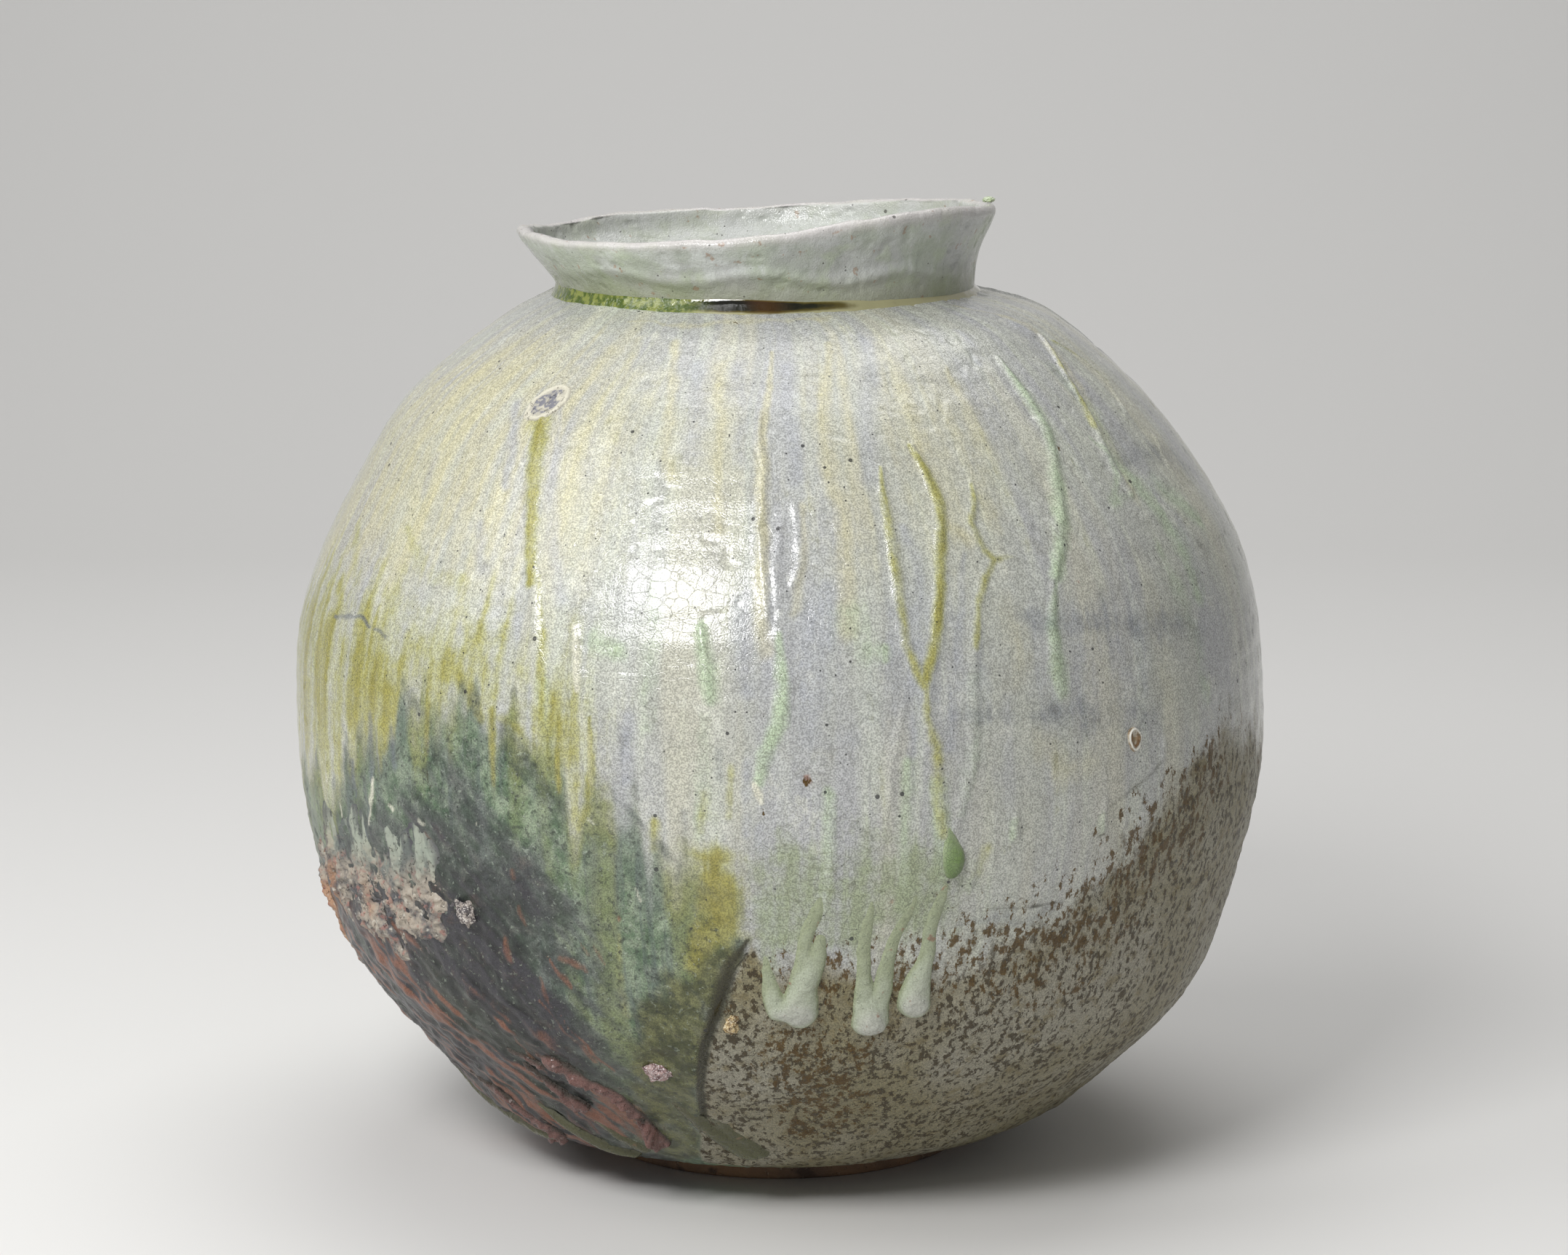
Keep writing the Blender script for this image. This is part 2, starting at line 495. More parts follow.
# Dark grooves and shadows in the glaze
dark_grooves = traced_strokes(
    (0.95, (1030, 1292, 14), (1006, 1326, 24), (992, 1372, 22), (980, 1408, 15), (970, 1440, 12),
     (965, 1500, 10), (968, 1550, 10)),
    (1.0, (1034, 1304, 4), (1006, 1340, 5), (992, 1382, 5), (976, 1416, 5), (965, 1444, 5), (961, 1500, 5),
     (965, 1550, 5)),
    (0.6, (1315, 1258, 4), (1360, 1252, 4), (1430, 1244, 6), (1467, 1239, 5)),
    (0.8, (1424, 1244, 6), (1432, 1243, 6)),
    (0.8, (584, 1064, 2.5), (586, 1078, 3), (589, 1088, 2)),
    (0.5, (1600, 1046, 8), (1590, 1062, 8), (1530, 1110, 8)),
    (0.7, (1521, 1146, 5), (1514, 1150, 5)),
    (0.5, (1346, 1212, 5), (1343, 1222, 5)),
    (0.6, (1408, 1148, 5)),
)


def strewn(seed, count, turns, tops, lengths, halves, strength):
    """Streaks on the sides that the photograph doesn't show, in the same spread as the ones it shows."""
    dice = np.random.default_rng(seed)
    strokes = []
    for number in range(count):
        turn = math.radians(dice.uniform(*turns))
        top = dice.uniform(*tops)
        drop = dice.uniform(*lengths)
        half = dice.uniform(*halves)
        sway = dice.normal(0, 1.2, 5).cumsum() / wall_half
        swell = half * np.array((0.5, 0.9, 1.0, 1.0, 0.5))
        route = np.stack((turn + sway, np.linspace(top, top - drop, 5), swell), -1)
        strokes.append((strength * dice.uniform(0.6, 1.0), route))
    return strokes


def laid(places, strokes, share):
    """Cover of the same strokes, wider by a share, thin where they begin and soft to the middle."""
    wide = []
    for strength, route in strokes:
        route = route * (1, 1, share)
        if len(route) > 3:
            route[:2, 2] *= (0.35, 0.75)
        wide.append((strength, route))
    return lay(places, wide, 0.0)


straw_streaks += strewn(1, 26, (2, 178), (380, 450), (60, 170), (2, 8), 0.8)
yellow_ash += strewn(2, 16, (2, 178), (330, 430), (50, 150), (2, 4), 0.8)
yellow_ash += strewn(3, 16, (120, 186), (215, 270), (25, 60), (2.5, 8), 1.0)
celadon += strewn(4, 20, (2, 178), (270, 440), (60, 150), (2, 5), 0.8)
lavender += strewn(5, 30, (2, 178), (180, 440), (40, 110), (3, 8), 0.7)
slate += strewn(6, 16, (150, 186), (190, 225), (20, 40), (1.5, 3), 0.9)
for start, level in ((8, 262), (60, 232), (30, 206)):
    band = np.radians(np.linspace(start, start + 40, 5))
    slate.append((0.5, np.stack((band, np.full(5, level), np.full(5, 4.5)), -1)))
rust += strewn(9, 20, (140, 200), (60, 170), (6, 30), (1, 3), 0.8)
cream += strewn(10, 26, (120, 200), (150, 200), (4, 18), (1, 2.5), 0.9)
amber += strewn(11, 22, (0, 120), (80, 130), (12, 40), (4, 11), 0.9)


def outlined(marks, beyond=()):
    """Outline of an area: corners on the photograph, and corners beyond its edge as degrees and climb."""
    corners = traced(*[(x, y, 1) for x, y in marks])[:, :2]
    corners[:, 0] = np.unwrap(corners[:, 0])
    if beyond:
        corners = np.concatenate((corners, np.array([(math.radians(turn), climb) for turn, climb in beyond])))
    return corners


def depth_in(places, outline):
    """Distance in mm of each place on the wall inside an outline, less than nothing outside it."""
    angle, climb = places
    middle = (outline[:, 0].max() + outline[:, 0].min()) / 2
    reach = 205.0
    x = ((angle - middle + math.pi) % (2 * math.pi) - math.pi) * reach
    corners_x = (outline[:, 0] - middle) * reach
    corners_y = outline[:, 1]
    within = np.zeros(len(angle), dtype=bool)
    near = np.full(len(angle), 1e9)
    for number in range(len(outline)):
        after = (number + 1) % len(outline)
        ax, ay, bx, by = corners_x[number], corners_y[number], corners_x[after], corners_y[after]
        length = (bx - ax) ** 2 + (by - ay) ** 2 + 1e-9
        share = np.clip(((x - ax) * (bx - ax) + (climb - ay) * (by - ay)) / length, 0, 1)
        near = np.minimum(near, np.hypot(x - ax - share * (bx - ax), climb - ay - share * (by - ay)))
        if ay != by:
            crossed = ((ay > climb) != (by > climb)) & (x < (bx - ax) * (climb - ay) / (by - ay) + ax)
            within ^= crossed
    return np.where(within, near, -near)


def area(places, outline, soft):
    """How much of an outlined area each place on the wall is in, from 0 to 1 over a soft edge in mm."""
    return ease(depth_in(places, outline), -soft, soft)


# Outlines of the areas of the glaze
ember_side = outlined(((400, 1050), (440, 1058), (478, 1044), (520, 1014), (560, 1014), (600, 994),
                       (660, 990), (712, 1020), (755, 1056), (800, 1118), (850, 1128), (890, 1158),
                       (925, 1180), (955, 1205), (992, 1262), (1036, 1294), (1012, 1338), (998, 1382),
                       (982, 1416), (971, 1446), (965, 1500), (968, 1560), (1045, 1596)),
                      ((-100, -20), (-150, -20), (-200, -20), (-232, -20), (-236, 90), (-226, 150),
                       (-205, 172)))
buried_side = outlined(((566, 1150), (600, 1120), (650, 1150), (694, 1180), (736, 1240), (764, 1302),
                        (792, 1370), (822, 1430), (846, 1500), (850, 1570)),
                       ((-110, -20), (-150, -20), (-200, -20), (-226, -20), (-228, 70), (-212, 118),
                        (-190, 128)))
flow_glass = outlined(((960, 1330), (1004, 1296), (1036, 1298), (1012, 1338), (998, 1382), (982, 1416),
                       (971, 1446), (965, 1500), (968, 1580), (930, 1600), (850, 1600), (868, 1500),
                       (890, 1400), (925, 1330)))
rusty_side = outlined(((470, 1240), (530, 1290), (600, 1330), (690, 1390), (760, 1440), (850, 1490),
                       (900, 1560), (870, 1596)), ((-112, -20), (-150, -20), (-205, -20), (-214, 60),
                                                   (-196, 96)))
dry_side = outlined(((985, 1420), (1012, 1355), (1040, 1330), (1090, 1340), (1140, 1330), (1200, 1360),
                     (1240, 1340), (1290, 1330), (1340, 1310), (1420, 1290), (1500, 1235), (1560, 1160),
                     (1620, 1080), (1690, 1010)), ((20, 205), (60, 150), (100, 120), (128, 96), (128, -20),
                                                   (60, -20), (0, -20), (-60, -20), (-96, -20)))
celadon_belt = outlined(((1034, 1190), (1070, 1150), (1130, 1165), (1210, 1150), (1290, 1170), (1345, 1215),
                         (1320, 1290), (1220, 1300), (1120, 1330), (1046, 1335), (1030, 1280)))
dry_corner = outlined(((1036, 1298), (1012, 1340), (998, 1384), (982, 1418), (971, 1448), (965, 1500),
                       (968, 1600), (1150, 1600), (1150, 1430), (1090, 1390), (1062, 1345)))
mottled_side = outlined(((1040, 1330), (1130, 1272), (1230, 1290), (1290, 1252), (1440, 1226), (1530, 1120),
                         (1600, 1048), (1690, 980), (1700, 1080), (1640, 1180), (1560, 1290), (1440, 1390),
                         (1300, 1400), (1150, 1400), (1060, 1380)))
mottled_low = outlined(((1040, 1400), (1130, 1390), (1210, 1430), (1200, 1500), (1180, 1570), (1080, 1575),
                        (1040, 1500)))
mottled_back = outlined(((1690, 980),), ((30, 215), (70, 160), (110, 130), (110, 95), (60, 110), (20, 150),
                                         (0, 170)))
ochre_side = outlined(((410, 800), (470, 790), (540, 830), (620, 868), (690, 900), (762, 940), (812, 985),
                       (822, 1060), (800, 1120), (740, 1060), (690, 1000), (630, 985), (570, 1040),
                       (520, 1060), (450, 1070), (405, 1060)),
                      ((-186, 188), (-204, 190), (-210, 250), (-190, 275)))
olive_patch = outlined(((938, 1160), (990, 1170), (1032, 1190), (1034, 1290), (1000, 1330), (955, 1360),
                        (940, 1300), (945, 1220)))
straw_shoulder = outlined(((415, 770), (480, 640), (560, 540), (660, 470), (760, 440), (900, 440),
                           (910, 560), (850, 700), (800, 800), (660, 850), (520, 830)),
                          ((-190, 290), (-215, 300), (-225, 400), (-180, 440)))
straw_right = outlined(((1060, 450), (1200, 450), (1380, 560), (1390, 760), (1330, 800), (1200, 790),
                        (1120, 760), (1060, 640)))
bluish_belly = outlined(((1010, 800), (1150, 790), (1290, 780), (1420, 800), (1620, 800), (1640, 900),
                         (1600, 1010), (1420, 1040), (1250, 1000), (1120, 1030), (1030, 980)))


# Thick edge of the glaze that flowed over the ember side, from the bottom up: height as a share of
# the rim's, start and end in degrees, and thickness as a share of the whole
flow_rows = np.array((
    (0.100, 254.0, 257.0, 0.20), (0.145, 253.6, 257.5, 0.60), (0.180, 253.2, 258.7, 1.00),
    (0.225, 253.8, 260.2, 1.00), (0.270, 254.8, 262.4, 1.00), (0.310, 256.5, 264.4, 1.00),
    (0.345, 259.5, 266.2, 0.80), (0.372, 264.0, 267.2, 0.40),
))
flow_profile = np.array(((0.0, 0.0), (0.30, 0.35), (0.60, 0.65), (0.85, 1.0), (0.95, 0.85), (1.0, 0.0)))
flow_thickness = 2.2


def flow_edge(angle, level):
    """Lift of the thick flow edge on the front."""
    share = level / rim_level
    start, end, thick = (np.interp(share, flow_rows[:, 0], flow_rows[:, part]) for part in (1, 2, 3))
    inside = (share > flow_rows[0, 0]) & (share < flow_rows[-1, 0])
    across = (np.degrees(angle) % 360 - start) / (end - start)
    return flow_thickness * thick * inside * np.interp(across, flow_profile[:, 0], flow_profile[:, 1])


belly_level = 200.0
belly_reach = 26.0
belly_dip = 0.75
under_solid = 0.3


def wall_swell(angle, climb):
    """Lift of the fired wall off its smooth outline: throwing rings, hand marks and warps."""
    points = on_wall(angle, climb)[0]
    level = points[:, 2]
    widest = belly_dip * np.exp(-((level - belly_level) / belly_reach) ** 2)
    rings = 0.13 * np.sin(level / 1.9 + 2.0 * lumps(points, 55, 21)) * (0.6 + 0.4 * lumps(points, 30, 22))
    lift = -wall_skin - under_solid - widest + rings + 0.10 * lumps(points, 9, 25)
    warp = 0.55 * lumps(points * (1, 1, 1.5), 60, 23) + 0.30 * lumps(points * (1, 1, 1.6), 24, 24)
    return lift + warp * (1 - widest * 0.7)


def wall_marks(angle, climb):
    """All the marks on the wall at its places, each from 0 to 1, by name."""
    points = on_wall(angle, climb)[0]
    tall = points * (1, 1, 0.4)
    sway = lumps(tall, 11, 31) * 1.3 + lumps(tall, 30, 32) * 2.2 + lumps(points, 3.5, 33) * 0.5
    drop = lumps(points * (1, 1, 0.6), 7, 34) * 3.0 + lumps(points, 20, 35) * 3.0
    loose = (angle + sway / half_at(climb), climb + drop)
    firm = (angle + 0.5 * sway / half_at(climb), climb + 0.2 * drop)
    hanging = ring(angle, wall_half, climb * 0.10)
    fingers = 17 * lumps(hanging, 8, 36) + 13 * lumps(hanging, 3.6, 37) + 3 * lumps(points, 4, 39)
    streaks = (0.5 + 0.42 * lumps(hanging, 5, 29) + 0.34 * lumps(hanging, 13, 28)
               + 0.2 * lumps(hanging, 2.4, 26))
    ragged = (loose[0], loose[1] + fingers)
    patchy = (loose[0] + (6 * lumps(points, 22, 40) + 3 * lumps(points, 9, 19)) / wall_half,
              loose[1] + 7 * lumps(points, 16, 30) + 3 * lumps(points, 6, 18))
    across = angle * 200
    slanted = np.stack(((across + 0.95 * climb) * 0.75, (climb - 0.95 * across) * 0.09, points[:, 2] * 0), -1)
    slant = 0.5 + 0.6 * lumps(slanted, 6, 17) + 0.35 * lumps(slanted, 2.6, 16) + 0.25 * lumps(points, 9, 15)
    slant = np.clip(slant, 0, 1)
    edge = depth_in(ragged, ember_side)
    right_part = ease(angle, math.radians(-118), math.radians(-100)) * (angle < 0)
    by_flow = ease(angle, math.radians(-116), math.radians(-106)) * (angle < 0)
    by_flow = by_flow * (1 - ease(points[:, 2], 128, 148))
    ember = ease(edge, -16 - 10 * right_part, 34 + 22 * right_part) * (1 - by_flow)
    ember += ease(depth_in(firm, ember_side), -1.5, 6.0) * by_flow
    buried = area(patchy, buried_side, 32.0)
    ochre = area(ragged, ochre_side, 26.0) * np.clip(0.5 + 0.55 * streaks, 0, 1)
    warm = np.maximum(area(patchy, straw_shoulder, 40.0), 0.7 * area(patchy, straw_right, 40.0))
    warm *= np.clip(0.3 + 0.7 * streaks, 0, 1)
    cold = area(patchy, bluish_belly, 24.0) * np.clip(1.15 - streaks, 0.1, 1)
    rusty = 0.75 * area(patchy, rusty_side, 14.0) * ease(slant, 0.45, 0.9)
    most = np.maximum.reduce
    return {
        "straw": most((0.8 * laid(loose, straw_streaks, 1.9), 0.8 * warm)),
        "yellow": most((0.75 * laid(firm, yellow_ash, 1.6), 0.78 * ochre,
                        0.85 * area(patchy, olive_patch, 11.0))),
        "celadon": 0.85 * laid(firm, celadon, 1.8),
        "lavender": most((0.85 * laid(loose, lavender, 1.9), 0.55 * cold)),
        "slate": 0.7 * laid(loose, slate, 2.0),
        "cream": 0.8 * laid(firm, cream, 1.8),
        "ember": ember,
        "charcoal": buried,
        "slant": slant,
        "rust": most((0.8 * laid(loose, rust, 1.8), rusty)),
        "dry": most((area(patchy, dry_side, 16.0), area(firm, dry_corner, 3.0))),
        "streaks": streaks,
        "amber": most((0.9 * laid(loose, amber, 1.5), 0.75 * area(patchy, mottled_side, 18.0),
                       0.75 * area(patchy, mottled_back, 18.0), 0.8 * area(patchy, mottled_low, 16.0))),
        "groove": laid(firm, dark_grooves, 1.3),
        "glassy": most((area(patchy, flow_glass, 9.0), 0.9 * area(patchy, celadon_belt, 20.0))),
    }


front_columns = 600
back_columns = 240
lower_rows = 265
upper_rows = 230
run_width = 1.5
skin_turns = np.concatenate((np.linspace(-math.pi, 0, front_columns, endpoint=False),
                             np.linspace(0, math.pi, back_columns, endpoint=False)))


def grid_faces(rows, columns, wrap):
    """Corner numbers of a grid's faces, with rows that rise and columns that go round counter-clockwise."""
    last = columns if wrap else columns - 1
    row, column = np.meshgrid(np.arange(rows - 1), np.arange(last), indexing="ij")
    beside = (column + 1) % columns
    this, above = row * columns, (row + 1) * columns
    faces = np.stack((this + column, this + beside, above + beside, above + column), -1)
    return faces.reshape(-1, 4), row.reshape(-1), column.reshape(-1)


def sheet_piece(name, points, faces, corner_uvs, marks=None):
    """Mesh object from points in mm, faces of four corners and their places on the texture sheet."""
    mesh = bpy.data.meshes.new(name)
    mesh.vertices.add(len(points))
    mesh.vertices.foreach_set("co", (points / 1000).astype(np.float32).ravel())
    mesh.loops.add(faces.size)
    mesh.loops.foreach_set("vertex_index", faces.astype(np.int32).ravel())
    mesh.polygons.add(len(faces))
    mesh.polygons.foreach_set("loop_start", np.arange(0, faces.size, 4, dtype=np.int32))
    mesh.polygons.foreach_set("use_smooth", np.ones(len(faces), dtype=bool))
    mesh.update(calc_edges=True)
    mesh.validate()
    sheet = mesh.uv_layers.new(name="OFBake")
    sheet.data.foreach_set("uv", corner_uvs.astype(np.float32).ravel())
    for label, values in (marks or {}).items():
        layer = mesh.attributes.new(label, "FLOAT_VECTOR", "POINT")
        layer.data.foreach_set("vector", values.astype(np.float32).ravel())
    piece = bpy.data.objects.new(name, mesh)
    bpy.context.scene.collection.objects.link(piece)
    return piece


def skin_piece(name, points, split=None, marks=None, wrap=True):
    """Piece from rows of points in mm, laid on its texture sheet in one strip, or two split at a column."""
    rows, columns = points.shape[:2]
    faces, row, column = grid_faces(rows, columns, wrap)
    margin = 0.004
    parts = ((0, columns),) if split is None else ((0, split), (split, columns))
    uvs = np.zeros((len(faces), 4, 2))
    for index, (start, end) in enumerate(parts):
        own = (column >= start) & (column < end)
        tall = 1 / len(parts)
        for corner, (right, over) in enumerate(((0, 0), (1, 0), (1, 1), (0, 1))):
            uvs[own, corner, 0] = margin + (column[own] + right - start) / (end - start) * (1 - 2 * margin)
            uvs[own, corner, 1] = index * tall + margin + (row[own] + over) / (rows - 1) * (tall - 2 * margin)
    flat = {label: values.reshape(-1, 3) for label, values in (marks or {}).items()}
    return sheet_piece(name, points.reshape(-1, 3), faces, uvs.reshape(-1, 2), flat)


def glazed_skin(name, low, high, rows):
    """Glazed outside of the wall between two climbs, with its marks for the glaze colours."""
    climbs = np.linspace(low, high, rows)
    angle, climb = (part.ravel() for part in np.meshgrid(skin_turns, climbs))
    marks = wall_marks(angle, climb)
    smooth, outward = on_wall(angle, climb)
    fire = ease(marks["ember"], 0.3, 0.9)
    sway = (lumps(smooth, 12, 48) * 0.8 + lumps(smooth, 4, 49) * 0.5) / half_at(climb)
    lift = wall_swell(angle, climb) + flow_edge(angle, smooth[:, 2])
    swayed = (angle + sway, climb)
    runs = laid(swayed, raised_runs, run_width) + laid(swayed, unseen_runs, run_width)
    lift += (runs * (0.85 + 0.4 * lumps(smooth, 15, 50)) + 0.35 * marks["cream"] - 0.7 * marks["groove"]
             - 0.25 * marks["slate"])
    lift += fire * (0.5 * lumps(smooth, 13, 41) + 0.42 * lumps(smooth, 5, 42) + 0.3 * lumps(smooth, 2.6, 43))
    folds = 0.9 * (marks["slant"] - 0.5) + 0.7 * lumps(smooth, 8, 51) + 0.4 * lumps(smooth, 3.5, 52)
    lift += fire * marks["charcoal"] * folds
    lift += marks["dry"] * (0.34 * lumps(smooth, 7, 44) + 0.26 * lumps(smooth * (1, 1, 1.6), 3.6, 45))
    lift += 0.16 * marks["streaks"] + 0.25 * marks["celadon"] + 0.15 * marks["straw"]
    lift -= 0.28 * ease(lumps(smooth, 4.5, 47), 0.45, 0.75) * (1 - marks["ember"]) * (1 - marks["dry"])
    lift += marks["amber"] * 0.12 * lumps(smooth, 4, 46)
    points = smooth + outward * lift[:, None]
    size = (rows, len(skin_turns), 3)
    packs = (("ash_marks", "straw", "yellow", "celadon"), ("cool_marks", "lavender", "slate", "cream"),
             ("fire_marks", "ember", "charcoal", "rust"), ("dry_marks", "dry", "amber", "groove"),
             ("flow_marks", "slant", "streaks", "glassy"))
    layers = {pack: np.stack([marks[part] for part in parts], -1).reshape(size) for pack, *parts in packs}
    layers["round_wall"] = ring(angle, wall_half / 1000, climb / 1000).reshape(size)
    return skin_piece(name, points.reshape(size), front_columns, layers)


lower_skin = glazed_skin("lower_bowl_glaze", 0.0, seam_climb, lower_rows)
upper_skin = glazed_skin("upper_bowl_glaze", seam_climb, wall_end, upper_rows)


def paint(red, green, blue):
    """Colour written as it shows on a screen, 0 to 255, as the light values that a material takes."""
    parts = np.array((red, green, blue)) / 255
    light = np.where(parts <= 0.04045, parts / 12.92, ((parts + 0.055) / 1.055) ** 2.4)
    return (*light.tolist(), 1.0)


def node(tree, kind, settings=(), **inputs):
    """New node with settings, and with inputs by name or number set to a value or joined to a socket."""
    made = tree.nodes.new(kind)
    for label, value in settings:
        setattr(made, label, value)
    for label, value in inputs.items():
        key = int(label[1:]) if label[0] == "_" else label.replace("_", " ")
        socket = made.inputs[key]
        if isinstance(value, bpy.types.NodeSocket):
            tree.links.new(value, socket)
        else:
            socket.default_value = value
    return made


def tree_of(*values):
    """Node tree of the first socket among some values."""
    return next(value.id_data for value in values if isinstance(value, bpy.types.NodeSocket))


def mixed(share, under, over, mode="MIX"):
    """Colour that goes from one to another by a share, with plain colours as they show on a screen."""
    under, over = (paint(*tone) if isinstance(tone, tuple) else tone for tone in (under, over))
    settings = (("data_type", "RGBA"), ("blend_type", mode))
    made = node(tree_of(share, under, over), "ShaderNodeMix", settings, _0=share, _6=under, _7=over)
    return made.outputs[2]


def maths(work, first, second=0.5, clamp=False):
    """Sum, product or other result of two values."""
    settings = (("operation", work), ("use_clamp", clamp))
    return node(tree_of(first, second), "ShaderNodeMath", settings, _0=first, _1=second).outputs[0]


def plus(first, second):
    """Sum of two values."""
    return maths("ADD", first, second)


def times(first, second):
    """Product of two values."""
    return maths("MULTIPLY", first, second)


def shaken(value, cloud, amount):
    """Value moved up and down by a cloudy value of 0 to 1."""
    return plus(value, times(plus(cloud, -0.5), amount))


def between(value, low, high, start=0.0, end=1.0):
    """Value brought from one range to another by a soft step."""
    made = node(value.id_data, "ShaderNodeMapRange", (("interpolation_type", "SMOOTHSTEP"),), Value=value,
                From_Min=low, From_Max=high, To_Min=start, To_Max=end)
    return made.outputs[0]


def noise(place, scale, detail=2.0, rough=0.5):
    """Cloudy value from 0 to 1."""
    made = node(place.id_data, "ShaderNodeTexNoise", (), Vector=place, Scale=scale, Detail=detail,
                Roughness=rough)
    return made.outputs[0]


def stretched(place, size):
    """Place stretched by a size along each direction."""
    return node(place.id_data, "ShaderNodeMapping", (), Vector=place, Scale=size).outputs[0]


def parts_of(tree, label):
    """The three parts of a named layer of marks."""
    made = node(tree, "ShaderNodeAttribute", (("attribute_name", label),))
    split = node(tree, "ShaderNodeSeparateXYZ", (), Vector=made.outputs["Vector"])
    return split.outputs[0], split.outputs[1], split.outputs[2]


def shared_group(name, inputs, outputs):
    """Empty shared group with named inputs and outputs."""
    group = bpy.data.node_groups.new(name, "ShaderNodeTree")
    for label, kind in inputs:
        group.interface.new_socket(label, in_out="INPUT", socket_type="NodeSocket" + kind)
    for label, kind in outputs:
        group.interface.new_socket(label, in_out="OUTPUT", socket_type="NodeSocket" + kind)
    return group, group.nodes.new("NodeGroupInput").outputs, group.nodes.new("NodeGroupOutput").inputs


# Black iron specks, 1 to 2 mm
iron_specks, taken, given = shared_group("iron_specks", (("Place", "Vector"),), (("Speck", "Float"),))
cells = node(iron_specks, "ShaderNodeTexVoronoi", (), Vector=taken["Place"], Scale=105.0)
chosen = node(iron_specks, "ShaderNodeSeparateColor", (), Color=cells.outputs["Color"])
speck_size = between(chosen.outputs[0], 0.62, 1.0, 0.0, 0.10)
inside_speck = maths("LESS_THAN", cells.outputs["Distance"], speck_size)
small_cells = node(iron_specks, "ShaderNodeTexVoronoi", (), Vector=taken["Place"], Scale=290.0)
chosen = node(iron_specks, "ShaderNodeSeparateColor", (), Color=small_cells.outputs["Color"])
small_speck = between(chosen.outputs[1], 0.45, 1.0, 0.0, 0.13)
inside_small = maths("LESS_THAN", small_cells.outputs["Distance"], small_speck)
iron_specks.links.new(maths("MAXIMUM", inside_speck, inside_small), given["Speck"])

# Fine crackle of a glaze that shrank more than the clay
crackle, taken, given = shared_group("crackle", (("Place", "Vector"), ("Scale", "Float")),
                                     (("Line", "Float"),))
shift = node(crackle, "ShaderNodeTexNoise", (), Vector=taken["Place"], Scale=260.0)
pushed = node(crackle, "ShaderNodeVectorMath", (("operation", "SCALE"),), _0=shift.outputs["Color"])
pushed.inputs["Scale"].default_value = 0.0012
moved = node(crackle, "ShaderNodeVectorMath", (("operation", "ADD"),), _0=taken["Place"],
             _1=pushed.outputs[0])
edges = node(crackle, "ShaderNodeTexVoronoi", (("feature", "DISTANCE_TO_EDGE"),), Vector=moved.outputs[0],
             Scale=taken["Scale"])
line = between(edges.outputs["Distance"], 0.0, 0.05, 1.0, 0.0)
crackle.links.new(line, given["Line"])

# Grain of salt size in the ash glaze, dark and light
ash_grain, taken, given = shared_group("ash_grain", (("Place", "Vector"),),
                                       (("Grain", "Float"), ("Salt", "Float"), ("Peel", "Float")))
fine = noise(taken["Place"], 1500.0, 1.0)
coarse = noise(taken["Place"], 480.0, 2.0, 0.6)
ash_grain.links.new(between(fine, 0.32, 0.68), given["Grain"])
ash_grain.links.new(between(coarse, 0.60, 0.70), given["Salt"])
ash_grain.links.new(noise(taken["Place"], 300.0, 2.0, 0.55), given["Peel"])


def joined(group, **inputs):
    """Outputs of a shared group used in a material."""
    tree = tree_of(*inputs.values())
    made = tree.nodes.new("ShaderNodeGroup")
    made.node_tree = group
    for label, value in inputs.items():
        if isinstance(value, bpy.types.NodeSocket):
            tree.links.new(value, made.inputs[label])
        else:
            made.inputs[label].default_value = value
    return made.outputs


def object_place(tree):
    """Place in the object's own space."""
    return node(tree, "ShaderNodeTexCoord").outputs["Object"]


def new_material(name):
    """Empty material with its tree and surface."""
    material = bpy.data.materials.new(name)
    material.use_nodes = True
    tree = material.node_tree
    return material, tree, tree.nodes["Principled BSDF"]


def graded(colour, value):
    """Colour made darker or lighter by a value."""
    grey = node(value.id_data, "ShaderNodeCombineColor", (), _0=value, _1=value, _2=value).outputs[0]
    return mixed(1.0, colour, grey, "MULTIPLY")


def finish_material(surface, colour, rough, height, depth):
    """Join the colour, roughness and relief, with its depth in metres, to the surface."""
    tree = surface.id_data
    tree.links.new(colour, surface.inputs["Base Color"])
    if isinstance(rough, bpy.types.NodeSocket):
        tree.links.new(rough, surface.inputs["Roughness"])
    else:
        surface.inputs["Roughness"].default_value = rough
    relief = node(tree, "ShaderNodeBump", (), Strength=1.0, Distance=depth, Height=height)
    tree.links.new(relief.outputs[0], surface.inputs["Normal"])


